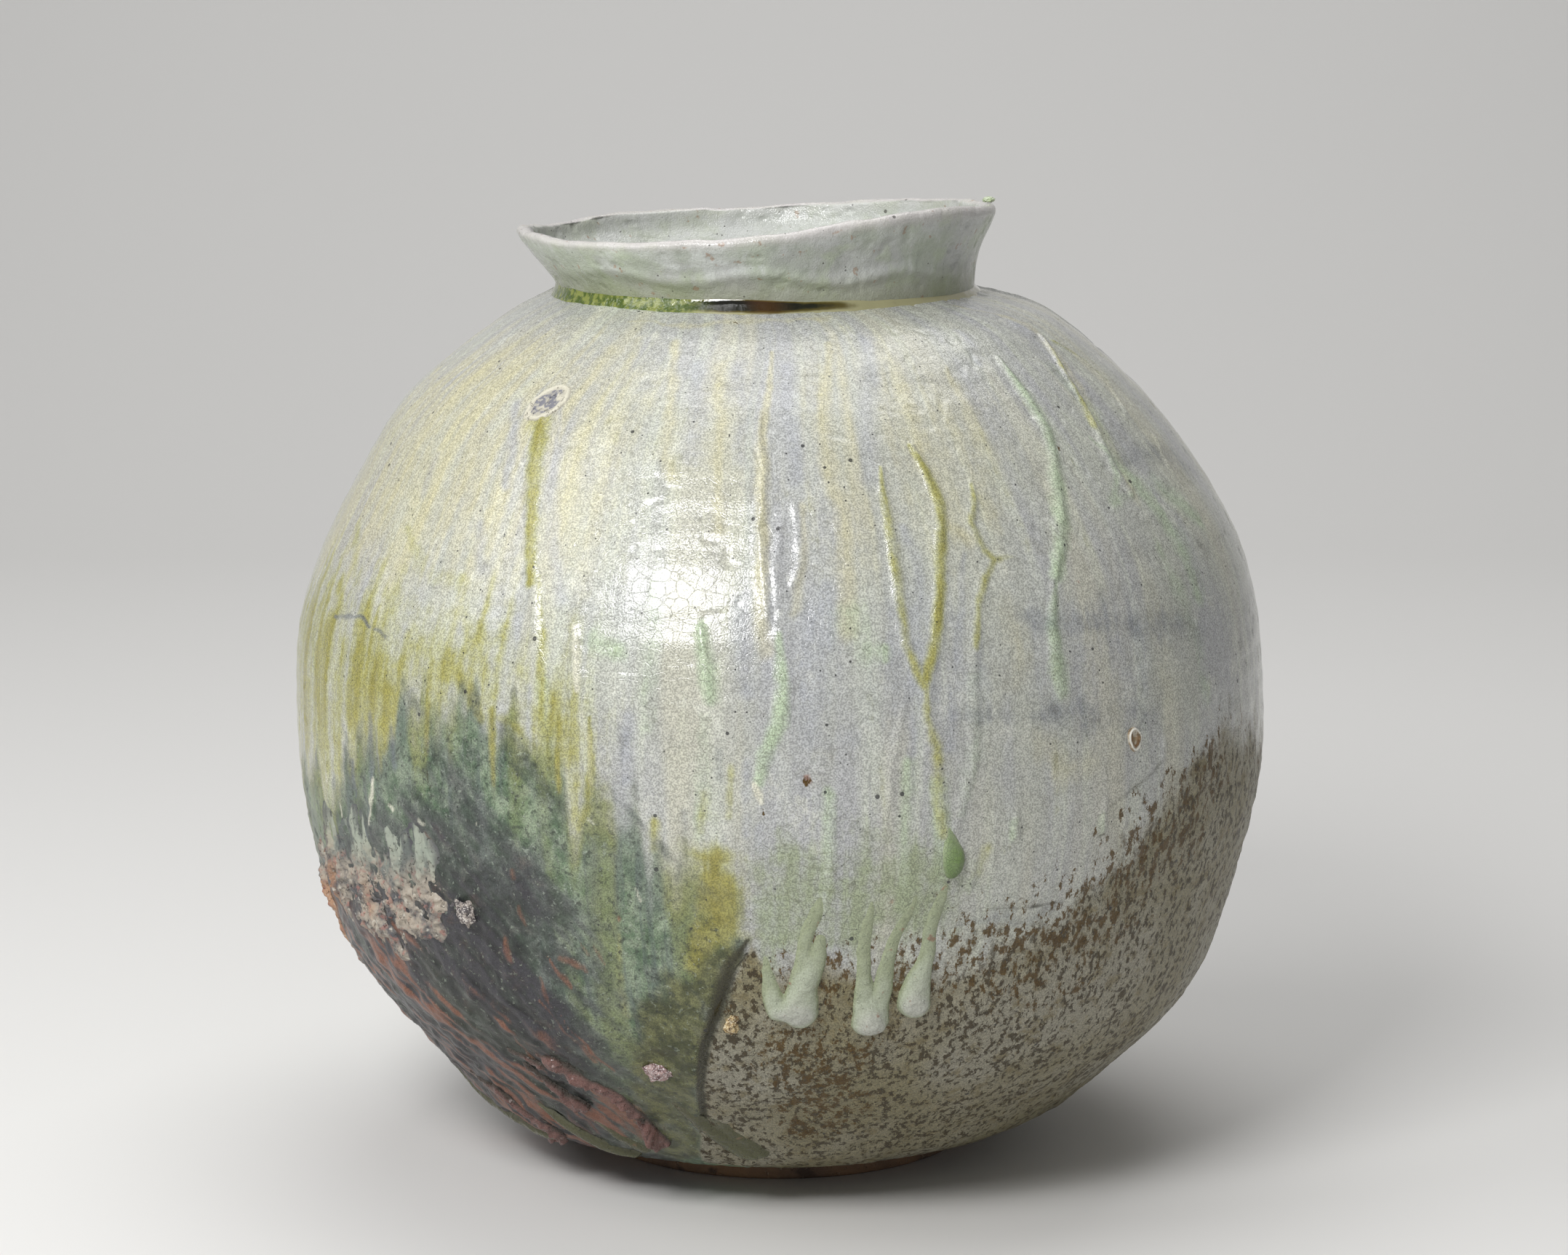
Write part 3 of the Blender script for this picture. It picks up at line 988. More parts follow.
def wall_material(name):
    """Wood ash glaze of the wall, with all of its colours laid by the marks."""
    material, tree, surface = new_material(name)
    place = object_place(tree)
    round_wall = node(tree, "ShaderNodeAttribute", (("attribute_name", "round_wall"),)).outputs["Vector"]
    straw, yellow, celadon_part = parts_of(tree, "ash_marks")
    lavender_part, slate_part, cream_part = parts_of(tree, "cool_marks")
    ember, char_part, rust_part = parts_of(tree, "fire_marks")
    dry, amber_part, groove = parts_of(tree, "dry_marks")
    slant, glassy = parts_of(tree, "flow_marks")[::2]
    grain, salt, peel = joined(ash_grain, Place=place)
    streak = noise(stretched(round_wall, (1, 1, 0.07)), 105.0, 3.0, 0.6)
    wide_streak = noise(stretched(round_wall, (1, 1, 0.10)), 40.0, 2.0)
    hair = noise(stretched(round_wall, (1, 1, 0.12)), 340.0, 2.0)
    cloud = noise(place, 16.0, 3.0)
    patch = noise(stretched(place, (1, 1, 0.7)), 55.0, 5.0, 0.7)
    blot = noise(place, 120.0, 4.0, 0.65)
    fine_blot = noise(place, 420.0, 3.0, 0.6)
    ground = mixed(between(cloud, 0.35, 0.65), (188, 190, 180), (180, 181, 179))
    ground = mixed(between(streak, 0.46, 0.66, 0.0, 0.6), ground, (208, 212, 198))
    ground = mixed(between(wide_streak, 0.52, 0.68, 0.0, 0.5), ground, (204, 201, 178))
    ground = mixed(between(wide_streak, 0.34, 0.48, 0.5, 0.0), ground, (180, 181, 186))
    ground = mixed(between(patch, 0.54, 0.70, 0.0, 0.7), ground, (214, 215, 204))
    ground = mixed(between(patch, 0.30, 0.46, 0.6, 0.0), ground, (172, 172, 164))
    shake = shaken(times(plus(streak, -0.5), 0.8), blot, 0.8)
    shake = shaken(shake, hair, 0.35)

    def worn(part, amount, low=0.10, high=0.90):
        """Mark shaken by the streaks, with a soft edge."""
        return between(plus(part, times(shake, amount)), low, high)

    colour = mixed(times(worn(straw, 0.6), 0.85), ground, (203, 197, 159))
    colour = mixed(times(worn(lavender_part, 0.7), 0.8), colour, (168, 171, 182))
    colour = mixed(times(worn(celadon_part, 0.8, 0.10, 0.9), 0.95), colour, (184, 200, 170))
    colour = mixed(times(worn(yellow, 0.8, 0.10, 0.75), 0.9), colour, (174, 174, 114))
    colour = mixed(worn(yellow, 0.9, 0.55, 1.15), colour, (142, 136, 68))
    colour = mixed(times(worn(glassy, 1.6, 0.2, 1.1), 0.9), colour, (154, 164, 132))
    deep = plus(ember, times(shake, 0.5))
    inside_ember = between(ember, 0.02, 0.25)
    finger_tone = mixed(between(wide_streak, 0.42, 0.56), (112, 124, 112), (134, 138, 88))
    colour = mixed(times(between(deep, 0.02, 0.55), inside_ember), colour, finger_tone)
    moss_tone = mixed(between(blot, 0.36, 0.64), (90, 112, 86), (142, 156, 132))
    moss_tone = mixed(between(streak, 0.36, 0.50, 0.8, 0.0), moss_tone, (96, 106, 104))
    moss_tone = mixed(between(wide_streak, 0.50, 0.64, 0.0, 0.7), moss_tone, (128, 136, 92))
    moss_tone = mixed(between(cloud, 0.52, 0.68, 0.0, 0.6), moss_tone, (106, 112, 110))
    colour = mixed(times(between(deep, 0.30, 0.86), inside_ember), colour, moss_tone)
    olive_tone = mixed(between(blot, 0.36, 0.64), (132, 124, 48), (162, 156, 84))
    colour = mixed(times(worn(yellow, 0.9, 0.40, 0.95), 0.8), colour, olive_tone)
    glass_tone = mixed(between(blot, 0.38, 0.62), (68, 72, 44), (112, 114, 76))
    colour = mixed(times(worn(glassy, 0.5), inside_ember), colour, glass_tone)
    char_tone = mixed(between(slant, 0.25, 0.65), (18, 18, 22), (58, 57, 62))
    char_tone = mixed(between(blot, 0.52, 0.68, 0.0, 0.4), char_tone, (84, 64, 56))
    char_tone = mixed(between(cloud, 0.50, 0.68, 0.0, 0.7), char_tone, (48, 56, 40))
    char_shake = shaken(char_part, slant, 0.5)
    char_shake = shaken(char_shake, patch, 1.3)
    halo_tone = mixed(between(blot, 0.38, 0.62), (66, 76, 68), (104, 110, 106))
    halo = between(char_shake, -0.05, 0.5, 0.0, 0.85)
    colour = mixed(times(halo, inside_ember), colour, halo_tone)
    colour = mixed(times(between(char_shake, 0.30, 1.0), inside_ember), colour, char_tone)
    fire = between(ember, 0.15, 0.6)
    salted = times(fire, salt)
    colour = mixed(times(salted, 0.45), colour, (150, 160, 146))
    pits = between(fine_blot, 0.34, 0.44, 0.6, 0.0)
    colour = mixed(times(fire, pits), colour, (48, 54, 48))
    colour = mixed(worn(slate_part, 0.7, 0.15, 0.95), colour, (104, 110, 122))
    colour = mixed(times(worn(rust_part, 0.8, 0.12, 0.70), 0.8), colour, (140, 90, 66))
    dry_tone = mixed(between(cloud, 0.35, 0.65), (156, 152, 136), (134, 127, 98))
    dry_tone = mixed(between(blot, 0.52, 0.66, 0.0, 0.7), dry_tone, (118, 106, 70))
    colour = mixed(worn(dry, 0.6, 0.1, 0.9), colour, dry_tone)
    flecks = noise(stretched(place, (0.9, 0.9, 0.62)), 400.0, 4.0, 0.7)
    flecks = shaken(flecks, patch, 0.22)
    dry_shake = plus(dry, times(shake, 0.5))
    fleck = times(between(dry_shake, 0.1, 0.8), between(flecks, 0.52, 0.58))
    colour = mixed(times(fleck, 0.92), colour, (58, 44, 10))
    level = maths("SUBTRACT", 0.70, times(amber_part, 0.25))
    mottles = noise(stretched(place, (1, 1, 0.6)), 270.0, 5.0, 0.7)
    mottle = times(between(amber_part, 0.05, 0.3),
                   between(maths("SUBTRACT", mottles, level), -0.01, 0.05))
    colour = mixed(times(mottle, 0.95), colour, (84, 60, 0))
    colour = mixed(worn(cream_part, 0.4, 0.3, 0.85), colour, (220, 218, 200))
    colour = mixed(worn(groove, 0.3, 0.25, 0.95), colour, (56, 54, 34))
    pale = maths("SUBTRACT", 1.0, fire, True)
    crack = joined(crackle, Place=place, Scale=200.0)[0]
    clear = maths("MAXIMUM", celadon_part, glassy)
    crack_tone = times(crack, plus(0.16, times(clear, 0.4)))
    colour = mixed(times(crack_tone, pale), colour, (112, 114, 96))
    gritty = times(between(grain, 0.0, 1.0, 0.70, 1.13),
                   between(fine_blot, 0.36, 0.64, 0.94, 1.05))
    colour = graded(colour, gritty)
    dot = joined(iron_specks, Place=place)[0]
    colour = mixed(times(dot, 0.85), colour, (46, 46, 48))
    rough = plus(between(fire, 0.2, 0.9, 0.09, 0.32), between(dry, 0.2, 0.8, 0.0, 0.36))
    rough = maths("SUBTRACT", rough, times(groove, 0.12))
    rough = plus(rough, between(grain, 0.0, 1.0, -0.03, 0.05))
    height = plus(times(peel, 0.42), times(grain, 0.09))
    height = maths("SUBTRACT", height, times(crack, 0.12))
    height = plus(height, times(fire, times(salt, 0.6)))
    height = plus(height, times(fleck, 0.5))
    height = plus(height, times(times(dry, flecks), 1.6))
    finish_material(surface, colour, rough, height, 0.00035)
    surface.inputs["IOR"].default_value = 1.5
    return material


lower_skin.data.materials.append(wall_material("lower_bowl_ash_glaze"))
upper_skin.data.materials.append(wall_material("upper_bowl_ash_glaze"))
upper_nodes = ("upper_bowl", "seam_slip", "yellow_run_left", "yellow_run_right", "inner_run", "pale_run",
               "centre_run", "dark_tip_run", "green_shoulder_run", "yellow_shoulder_run", "scar_run")
for skin, nodes, slot in ((lower_skin, ("lower_bowl", "glaze_flow_sheet"), "lower_ash_glaze"),
                          (upper_skin, upper_nodes, "upper_ash_glaze")):
    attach(skin, "root")
    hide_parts(*nodes)


# The inside of the jar
# The wall is 8 mm thick and the floor 14. Thin grey glaze covers it near the mouth, and the slip that
# joins the two bowls stands out as a coil at the seam.

wall_thickness = 8.0
inside_floor = 22.3
inside_columns = 240
inside_rows = 170
inside_bottom = 46.0
inside_top_gap = 7.0
coil_height = 3.6
coil_half = 3.0
mouth_half = 81.0
mouth_shift = (mouth_right - mouth_left) / 2

inside_turns = np.linspace(-math.pi, math.pi, inside_columns, endpoint=False)
low_climb = np.interp(inside_bottom, fine_outline[:, 0], fine_climb)
inside_climbs = np.linspace(wall_end - inside_top_gap, low_climb, inside_rows)
angle, climb = np.meshgrid(inside_turns, inside_climbs)
smooth, outward = on_wall(angle.ravel(), climb.ravel())
coil = coil_height * np.exp(-((climb.ravel() - seam_climb) / coil_half) ** 2)
thrown_rings = 0.25 * np.sin(smooth[:, 2] / 2.2 + 2 * lumps(smooth, 50, 51))
depth = -wall_thickness - coil + thrown_rings + 0.3 * lumps(smooth, 20, 52)
inner_rows = (smooth + outward * depth[:, None]).reshape(angle.shape + (3,))
mouth_ring = ring(inside_turns, mouth_half + 0.25, rim_level + 0.2, mouth_shift)
mouth_rows = np.array([mouth_ring + (inner_rows[0] - mouth_ring) * share for share in (0.0, 0.25, 0.5, 0.75)])
floor_rows = []
for share in np.linspace(1, 0.02, 40)[1:]:
    row = inner_rows[-1] * (share, share, 0)
    row[:, 2] = inside_floor + (inner_rows[-1][:, 2] - inside_floor) * share ** 5 + 0.25 * lumps(row, 14, 53)
    floor_rows.append(row)
inside = skin_piece("jar_inside", np.concatenate((mouth_rows, inner_rows, np.array(floor_rows))))
inside_material, tree, surface = new_material("inside_glaze")
place = object_place(tree)
ash = joined(ash_grain, Place=place)
cloud = between(noise(place, 22.0, 3.0), 0.35, 0.65)
stain = between(noise(place, 60.0, 3.0), 0.58, 0.72)
colour = mixed(cloud, (182, 184, 176), (164, 165, 164))
colour = mixed(stain, colour, (150, 128, 98))
dot = joined(iron_specks, Place=place)[0]
colour = mixed(times(dot, 0.7), colour, (60, 58, 54))
finish_material(surface, colour, between(ash["Grain"], 0, 1, 0.28, 0.42), ash["Peel"], 0.0004)
inside.data.materials.append(inside_material)
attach(inside, "root")
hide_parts("lower_bowl", "upper_bowl", "seam_slip")


# The foot
# Bare clay, trimmed on the wheel into a flat ring with the base recessed inside it. Ash that ran
# under the wall stained it, and it stands flat on the floor.

foot_columns = 360

# Half width and height of each ring: down the outside, across the face, up the inside and to the middle
foot_outside = ((91.4, 8.2), (88.0, 8.1), (84.6, 8.0), (84.0, 7.4), (84.0, 5.0), (84.0, 3.0), (83.8, 1.6),
                (83.2, 0.6), (82.0, 0.02))
foot_inside = ((71.0, 0.02), (69.8, 0.6), (69.2, 1.6), (69.0, 3.0), (69.0, 5.0), (69.0, 7.2), (68.4, 7.9))
face_outer = foot_outside[-1][0]
face_inner = foot_inside[0][0]
recess_half = foot_inside[-1][0]
foot_outline = [*foot_outside]
foot_outline += [(face_outer - step * (face_outer - face_inner) / 6, 0.0) for step in range(1, 6)]
foot_outline += foot_inside
recess_start = len(foot_outline) - 1
foot_outline += [(recess_half * share, foot_top) for share in np.linspace(0.97, 0.01, 30)]
profile = np.array(foot_outline)
run = run_along(*profile.T)
ring_places = np.linspace(0, run[recess_start], 60)
along = np.unique(np.concatenate((ring_places, np.linspace(run[recess_start], run[-1], 40))))
profile = np.stack([np.interp(along, run, profile[:, part]) for part in (0, 1)], -1)
turns = np.linspace(-math.pi, math.pi, foot_columns, endpoint=False)
foot_rows = ring(turns, profile[:, :1], profile[:, 1:])
flat = foot_rows.reshape(-1, 3)
tooled = 0.25 * lumps(flat, 12, 61) + 0.12 * lumps(flat, 3, 62)
above_floor = ease(flat[:, 2], 0.3, 2.0)
flat[:, :2] *= (1 - 0.004 * np.abs(tooled) * above_floor)[:, None]
spiral = np.sin(np.hypot(flat[:, 0], flat[:, 1]) * 1.1 + 0.5 * lumps(flat, 20, 63))
flat[:, 2] += ease(flat[:, 2], 7.5, 8.0) * (0.18 * spiral + tooled)
flat[:, 2] = np.maximum(flat[:, 2], 0)
foot = skin_piece("foot_ring_clay", foot_rows[::-1].copy())
foot_material, tree, surface = new_material("bare_foot_clay")
place = object_place(tree)
grain, salt, peel = joined(ash_grain, Place=place)
cloud = between(noise(place, 26.0, 4.0), 0.35, 0.65)
stain = between(noise(place, 90.0, 3.0), 0.55, 0.70)
colour = mixed(cloud, (148, 116, 88), (112, 92, 78))
colour = mixed(stain, colour, (86, 70, 60))
colour = mixed(times(salt, 0.35), colour, (190, 172, 148))
finish_material(surface, colour, between(grain, 0, 1, 0.68, 0.85), plus(peel, salt), 0.0006)
foot.data.materials.append(foot_material)
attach(foot, "root")
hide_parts("foot_ring")


# The collar
# A coil of clay thrown out into a flaring collar that warped in the fire: low at the front, high on
# the right. Its thick glaze rolls over the lip and gathers above the root.

collar_height = 39.0
lip_flare = 12.3
lip_thickness = 4.2
root_ledge = 0.6
collar_columns = 560
section_rows = 120
lip_row = 60

# Height of the lip at every sixteenth of a turn from +X, as a share of the highest
lip_rises = np.array((0.92, 0.90, 0.85, 0.78, 0.72, 0.69, 0.67, 0.63,
                      0.69, 0.68, 0.67, 0.71, 0.77, 0.91, 1.00, 0.97))

# Height share of the collar, with its flare on the left and right as shares of the whole flare
collar_shape = np.array(((0.0, 0.0, 0.0), (0.35, 0.593, 0.101), (0.65, 1.163, 0.415), (0.93, 1.435, 0.654)))
lip_start = collar_shape[-1, 0]


def round_table(values, turn):
    """Values given every sixteenth of a turn from +X, read smoothly at any angle."""
    steps = len(values)
    knots = np.arange(-4, steps + 5)
    wrapped = values[knots % steps]
    return smooth_through(knots.astype(float), wrapped, (turn % (2 * math.pi)) / (2 * math.pi) * steps)


def collar_section():
    """Height share, left half and right half of the collar: up the outside, over the lip, down the inside."""
    left = mouth_left - root_ledge + collar_shape[:, 1] * lip_flare
    right = mouth_right - root_ledge + collar_shape[:, 2] * lip_flare
    outside = list(zip(collar_shape[:, 0], left, right))
    root_wall = (left[0] + right[0]) / 2 - mouth_half - root_ledge
    rows = list(outside)
    for share, inset in ((0.985, 0.7), (1.0, lip_thickness / 2), (0.985, lip_thickness - 0.7)):
        rows.append((share, left[-1] - inset, right[-1] - inset))
    for share, far_left, far_right in reversed(outside):
        wall = root_wall + (lip_thickness - root_wall) * share / lip_start
        rows.append((share, far_left - wall, far_right - wall))
    return np.array(rows)


nib_corners = np.array(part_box("lip_nib"))
nib_turn = math.atan2(*nib_corners.mean(axis=0)[1::-1])
section = collar_section()
section_run = run_along(section[:, 0] * 30, section[:, 1])
section_at = np.linspace(0, section_run[-1], section_rows)
section = smooth_through(section_run, section, section_at)
turns = np.linspace(-math.pi, math.pi, collar_columns, endpoint=False)
rise = round_table(lip_rises, turns)
share, left, right = (section[:, part:part + 1] for part in range(3))
half = (left + right) / 2
centre = (right - left) / 2
collar_rows = ring(turns, half, rim_level + share * rise * collar_height, centre)
flat = collar_rows.reshape(-1, 3)
side = np.where(np.arange(section_rows) < lip_row + 2, 1.0, -1.0)[:, None] * np.ones(collar_columns)
by_nib = 1 - np.exp(-((turns - nib_turn) / 0.16) ** 2)
keep = (ease(share, 0.02, 0.25) * by_nib).ravel()
bumps = (0.55 * lumps(flat, 22, 71) + 0.30 * lumps(flat, 8, 72) + 0.16 * lumps(flat, 3.2, 73)
         - 0.5 * ease(lumps(flat, 5, 76), 0.45, 0.75) - 0.35)
angle_all = np.broadcast_to(turns, side.shape).ravel()
up = (flat[:, 2] - rim_level) / collar_height
front_ridge = 1.3 * np.exp(-((up - 0.30 + 0.05 * np.sin(angle_all * 9)) / 0.07) ** 2)
front_ridge = front_ridge * ease(-np.sin(angle_all), 0.2, 0.9)
outer = side.ravel() > 0
out_from = ring(angle_all, 1, 0)
bulge = (0.9 * np.exp(-((share - lip_start) / 0.08) ** 2) * np.ones(collar_columns)).ravel() * outer
past_lip = section_at[:, None] > section_at[lip_row]
rolled = (1.5 * ease(share, 0.66, 0.94) * past_lip * np.ones(collar_columns)).ravel()
flat += out_from * ((bumps + front_ridge * outer) * keep * side.ravel() - rolled + bulge)[:, None]
edge_wave = ease(share, 0.80, 1.0) * by_nib
wave = 0.45 * lumps(flat * (1, 1, 0), 9, 74) + 0.5 * lumps(flat * (1, 1, 0), 26, 75) - 0.5
flat[:, 2] += wave * edge_wave.ravel()
lip_mark = (ease(share, 0.78, 1.0) * np.ones(collar_columns)).ravel()
pool_side = outer * (1 - ease(up, 0.05, 0.45))
collar_marks = np.stack((lip_mark, pool_side, 1.0 - outer), -1).reshape(collar_rows.shape)
collar = skin_piece("collar_glaze", collar_rows, collar_columns // 2, {"collar_marks": collar_marks})
collar_material, tree, surface = new_material("collar_glaze")
place = object_place(tree)
lip_part, root_part, inner_part = parts_of(tree, "collar_marks")
ash = joined(ash_grain, Place=place)
cloud = noise(place, 30.0, 3.0)
colour = mixed(between(cloud, 0.38, 0.62), (176, 184, 168), (186, 188, 186))
streak = noise(stretched(place, (1, 1, 0.35)), 90.0, 4.0, 0.65)
colour = mixed(between(streak, 0.50, 0.66, 0.0, 0.7), colour, (204, 208, 204))
colour = mixed(between(streak, 0.32, 0.46, 0.6, 0.0), colour, (150, 156, 146))
green_cloud = between(noise(place, 75.0, 3.0), 0.50, 0.68, 0.0, 0.5)
colour = mixed(green_cloud, colour, (178, 190, 160))
colour = mixed(times(lip_part, 0.75), colour, (208, 202, 200))
colour = mixed(times(root_part, 0.5), colour, (138, 142, 96))
inside_cloud = between(noise(place, 50.0, 4.0, 0.7), 0.40, 0.66)
inside_tone = mixed(inside_cloud, (206, 208, 204), (190, 195, 180))
colour = mixed(times(inner_part, 0.8), colour, inside_tone)
dot = joined(iron_specks, Place=place)[0]
colour = mixed(times(dot, 0.75), colour, (64, 62, 56))
rust_spot = between(noise(place, 210.0, 2.0), 0.66, 0.72)
colour = mixed(times(rust_spot, 0.5), colour, (150, 104, 62))
crack = joined(crackle, Place=place, Scale=330.0)[0]
colour = mixed(times(crack, 0.18), colour, (110, 112, 92))
height = plus(ash["Peel"], times(ash["Grain"], 0.2))
finish_material(surface, colour, between(ash["Grain"], 0, 1, 0.12, 0.20), height, 0.00035)
collar.data.materials.append(collar_material)
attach(collar, "root")
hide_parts("neck_collar")


# The pool of glass in the groove of the collar
# Ash melted on the shoulder and stood in the groove: thick and nearly black at the front, clear
# green on its left, and thin and olive behind.

# How full the groove is at every sixteenth of a turn from +X
pool_fills = np.array((0.50, 0.50, 0.48, 0.45, 0.45, 0.48, 0.52, 0.68,
                       0.90, 0.95, 0.90, 1.00, 0.95, 0.70, 0.50, 0.40))
pool_width = 5.6
pool_height = 3.4
pool_steps = 14
pool_swell = 1.2
pool_sink = 0.9

turns = np.linspace(-math.pi, math.pi, collar_columns, endpoint=False)
root_half = (mouth_left + mouth_right) / 2
fill = round_table(pool_fills, turns) * (1 + 0.12 * lumps(ring(turns, 90, 0), 9, 81))
start = on_wall(turns, wall_end - pool_width * fill, np.full(collar_columns, -pool_sink))[0]
climb_share = np.clip(pool_height * fill / (round_table(lip_rises, turns) * collar_height), 0, 0.6)
section = collar_section()[:4]
left, right = (np.interp(climb_share, section[:, 0], section[:, part]) for part in (1, 2))
half = (left + right) / 2 - 0.6
end = ring(turns, half, rim_level + pool_height * fill, (right - left) / 2)
edge = ring(turns, root_half, rim_level, mouth_shift)
corner = edge + ring(turns, 1, 0.9) * (pool_swell * fill)[:, None]
pool_rows = []
for step in np.linspace(0, 1, pool_steps):
    pool_rows.append(start * (1 - step) ** 2 + corner * (2 * step * (1 - step)) + end * step ** 2)
pool_points = np.array(pool_rows)
pool_points[..., 2] += 0.12 * lumps(pool_points.reshape(-1, 3), 6, 82).reshape(pool_steps, -1)
pool_depth = np.sin(np.linspace(0, math.pi, pool_steps))[:, None] * fill
degrees = np.degrees(turns) % 360
green = ease(degrees, 150, 190) * (1 - ease(degrees, 246, 258))
amber_part = ease(degrees, 263, 269) * (1 - ease(degrees, 270, 278))
pool_depth = pool_depth * (1 - 0.75 * ease(degrees, 276, 300) * (1 - ease(degrees, 355, 360)))
pool_marks = np.stack(np.broadcast_arrays(pool_depth, green, amber_part), -1)
pool = skin_piece("collar_pool_glass", pool_points, None, {"pool_marks": pool_marks})
pool_material, tree, surface = new_material("pool_glass")
place = object_place(tree)
deep, green_part, amber_share = parts_of(tree, "pool_marks")
blot = noise(place, 110.0, 3.0)
depth = shaken(deep, blot, 0.5)
colour = mixed(between(depth, 0.15, 0.45), (164, 160, 122), (84, 74, 28))
colour = mixed(between(depth, 0.42, 0.70), colour, (18, 18, 10))
leafy = mixed(between(noise(place, 330.0, 2.0), 0.4, 0.6), (132, 140, 72), (78, 96, 38))
colour = mixed(green_part, colour, leafy)
colour = mixed(times(amber_share, 0.5), colour, (84, 52, 20))
peel = joined(ash_grain, Place=place)["Peel"]
relief = plus(blot, times(times(peel, green_part), 2.5))
finish_material(surface, colour, 0.08, relief, 0.0004)
surface.inputs["Coat Weight"].default_value = 0.5
surface.inputs["Coat Roughness"].default_value = 0.05
pool.data.materials.append(pool_material)
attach(pool, "root")
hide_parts("collar_glass_pool")


# Drips and slag that stand on the wall
# Thick milky glaze stopped in three rounded beads low on the front, a clear green drop hangs under
# the forked run, and pink slag and dark glaze ran over the bottom edge. Each is one sheet with a domed
# face, sunk into the wall all along its edge.

patch_sink = 0.55


def domes(places, strokes, fullness=0.55):
    """Height of rounded strands on the wall, which swell together where they meet."""
    angle, climb = places
    total = np.zeros(len(angle))
    for route in strokes:
        bends = np.unwrap(route[:, 0])
        round_wall = half_at(climb)
        across = ((angle - bends[0] + math.pi) % (2 * math.pi) - math.pi) * round_wall
        best = np.zeros(len(angle))
        for low, high in zip(route, route[1:]):
            start = (low[0] - bends[0]) * round_wall
            run = (high[0] - low[0]) * round_wall
            up = climb - low[1]
            rise = high[1] - low[1]
            length = np.maximum(run * run + rise * rise, 1e-6)
            share = np.clip(((across - start) * run + up * rise) / length, 0, 1)
            half, tall = (low[part] + (high[part] - low[part]) * share for part in (2, 3))
            ratio = np.hypot(across - start - share * run, up - share * rise) / half
            best = np.maximum(best, tall * np.clip(1 - ratio ** 2, 0, 1) ** fullness)
        total += best ** 3
    return np.cbrt(total)


def smooth_route(route, count=40):
    """The same route with many stations on a smooth line."""
    knots = np.arange(len(route), dtype=float)
    smooth = smooth_through(knots, route, np.linspace(0, len(route) - 1, count))
    smooth[:, 2:] = np.maximum(smooth[:, 2:], 0.2)
    return smooth


def patch_piece(name, span, height_of, spacing=0.6, sink=patch_sink):
    """Sheet on the wall over a span of angles and climbs, kept where its height is above nothing."""
    first, last, low, high = span
    across = int((last - first) * half_at((low + high) / 2) / spacing)
    climbs = np.linspace(low, high, int((high - low) / spacing))
    angle, climb = np.meshgrid(np.linspace(first, last, across), climbs)
    rows, columns = angle.shape
    angle, climb = angle.ravel(), climb.ravel()
    height, marks = height_of(angle, climb)
    smooth, outward = on_wall(angle, climb)
    ground = wall_swell(angle, climb) + flow_edge(angle, smooth[:, 2])
    points = smooth + outward * (ground + height - sink)[:, None]
    faces, row, column = grid_faces(rows, columns, False)
    kept = (height[faces] > 0.03).any(1)
    faces, row, column = faces[kept], row[kept], column[kept]
    used, renumbered = np.unique(faces, return_inverse=True)
    uvs = np.zeros((len(faces), 4, 2))
    for corner, (right, over) in enumerate(((0, 0), (1, 0), (1, 1), (0, 1))):
        uvs[:, corner, 0] = 0.01 + 0.98 * (column + right) / (columns - 1)
        uvs[:, corner, 1] = 0.01 + 0.98 * (row + over) / (rows - 1)
    labelled = {label: values[used] for label, values in marks.items()}
    return sheet_piece(name, points[used], renumbered.reshape(-1, 4), uvs.reshape(-1, 2), labelled)


def strand_piece(name, strands, seed, rough=0.12, spacing=0.5):
    """Piece of one or more strands traced with their heights, with marks for the height and the tip."""
    routes = [smooth_route(traced(*marks)) for marks in strands]
    every = np.concatenate(routes)
    pad = every[:, 2].max() + 1.5
    low, high = every[:, 1].min() - pad, every[:, 1].max() + pad
    wide = pad / half_at((low + high) / 2)
    first, last = every[:, 0].min() - wide, every[:, 0].max() + wide
    tall = every[:, 3].max()

    def height_of(angle, climb):
        smooth = on_wall(angle, climb)[0]
        sway = (lumps(smooth, 9, seed) * 0.8 + lumps(smooth, 3, seed + 1) * 0.25) / half_at(climb)
        height = domes((angle + sway, climb + lumps(smooth, 7, seed + 2) * 0.8), routes)
        lumpy = height * (1 + rough * lumps(smooth, 5, seed + 3) + 0.5 * rough * lumps(smooth, 2, seed + 4))
        tip = 1 - ease(climb, low + 2, low + 0.45 * (high - low))
        return lumpy, {"strand_marks": np.stack((lumpy / tall, tip, np.clip(height / 1.5, 0, 1)), -1)}

    return patch_piece(name, (first, last, low, high), height_of, spacing)


def strand_material(name, thin, thick, bead, stain, rough, depth):
    """Thick ash glass or slag: one colour at its thin edges, another where it is thick, and stains."""
    material, tree, surface = new_material(name)
    place = object_place(tree)
    tall_part, tip_part = parts_of(tree, "strand_marks")[:2]
    grain, salt, peel = joined(ash_grain, Place=place)
    blot = noise(place, 120.0, 3.0)
    fullness = shaken(tall_part, blot, 0.4)
    colour = mixed(between(fullness, 0.15, 0.55), thin, thick)
    colour = mixed(times(between(fullness, 0.5, 0.95), tip_part), colour, bead)
    colour = mixed(between(noise(place, 230.0, 2.0), 0.68, 0.74, 0.0, 0.7), colour, stain)
    colour = graded(colour, between(grain, 0.0, 1.0, 0.88, 1.08))
    height = plus(peel, times(salt, 0.35))
    finish_material(surface, colour, between(grain, 0, 1, rough, rough + 0.12), height, depth)
    return material


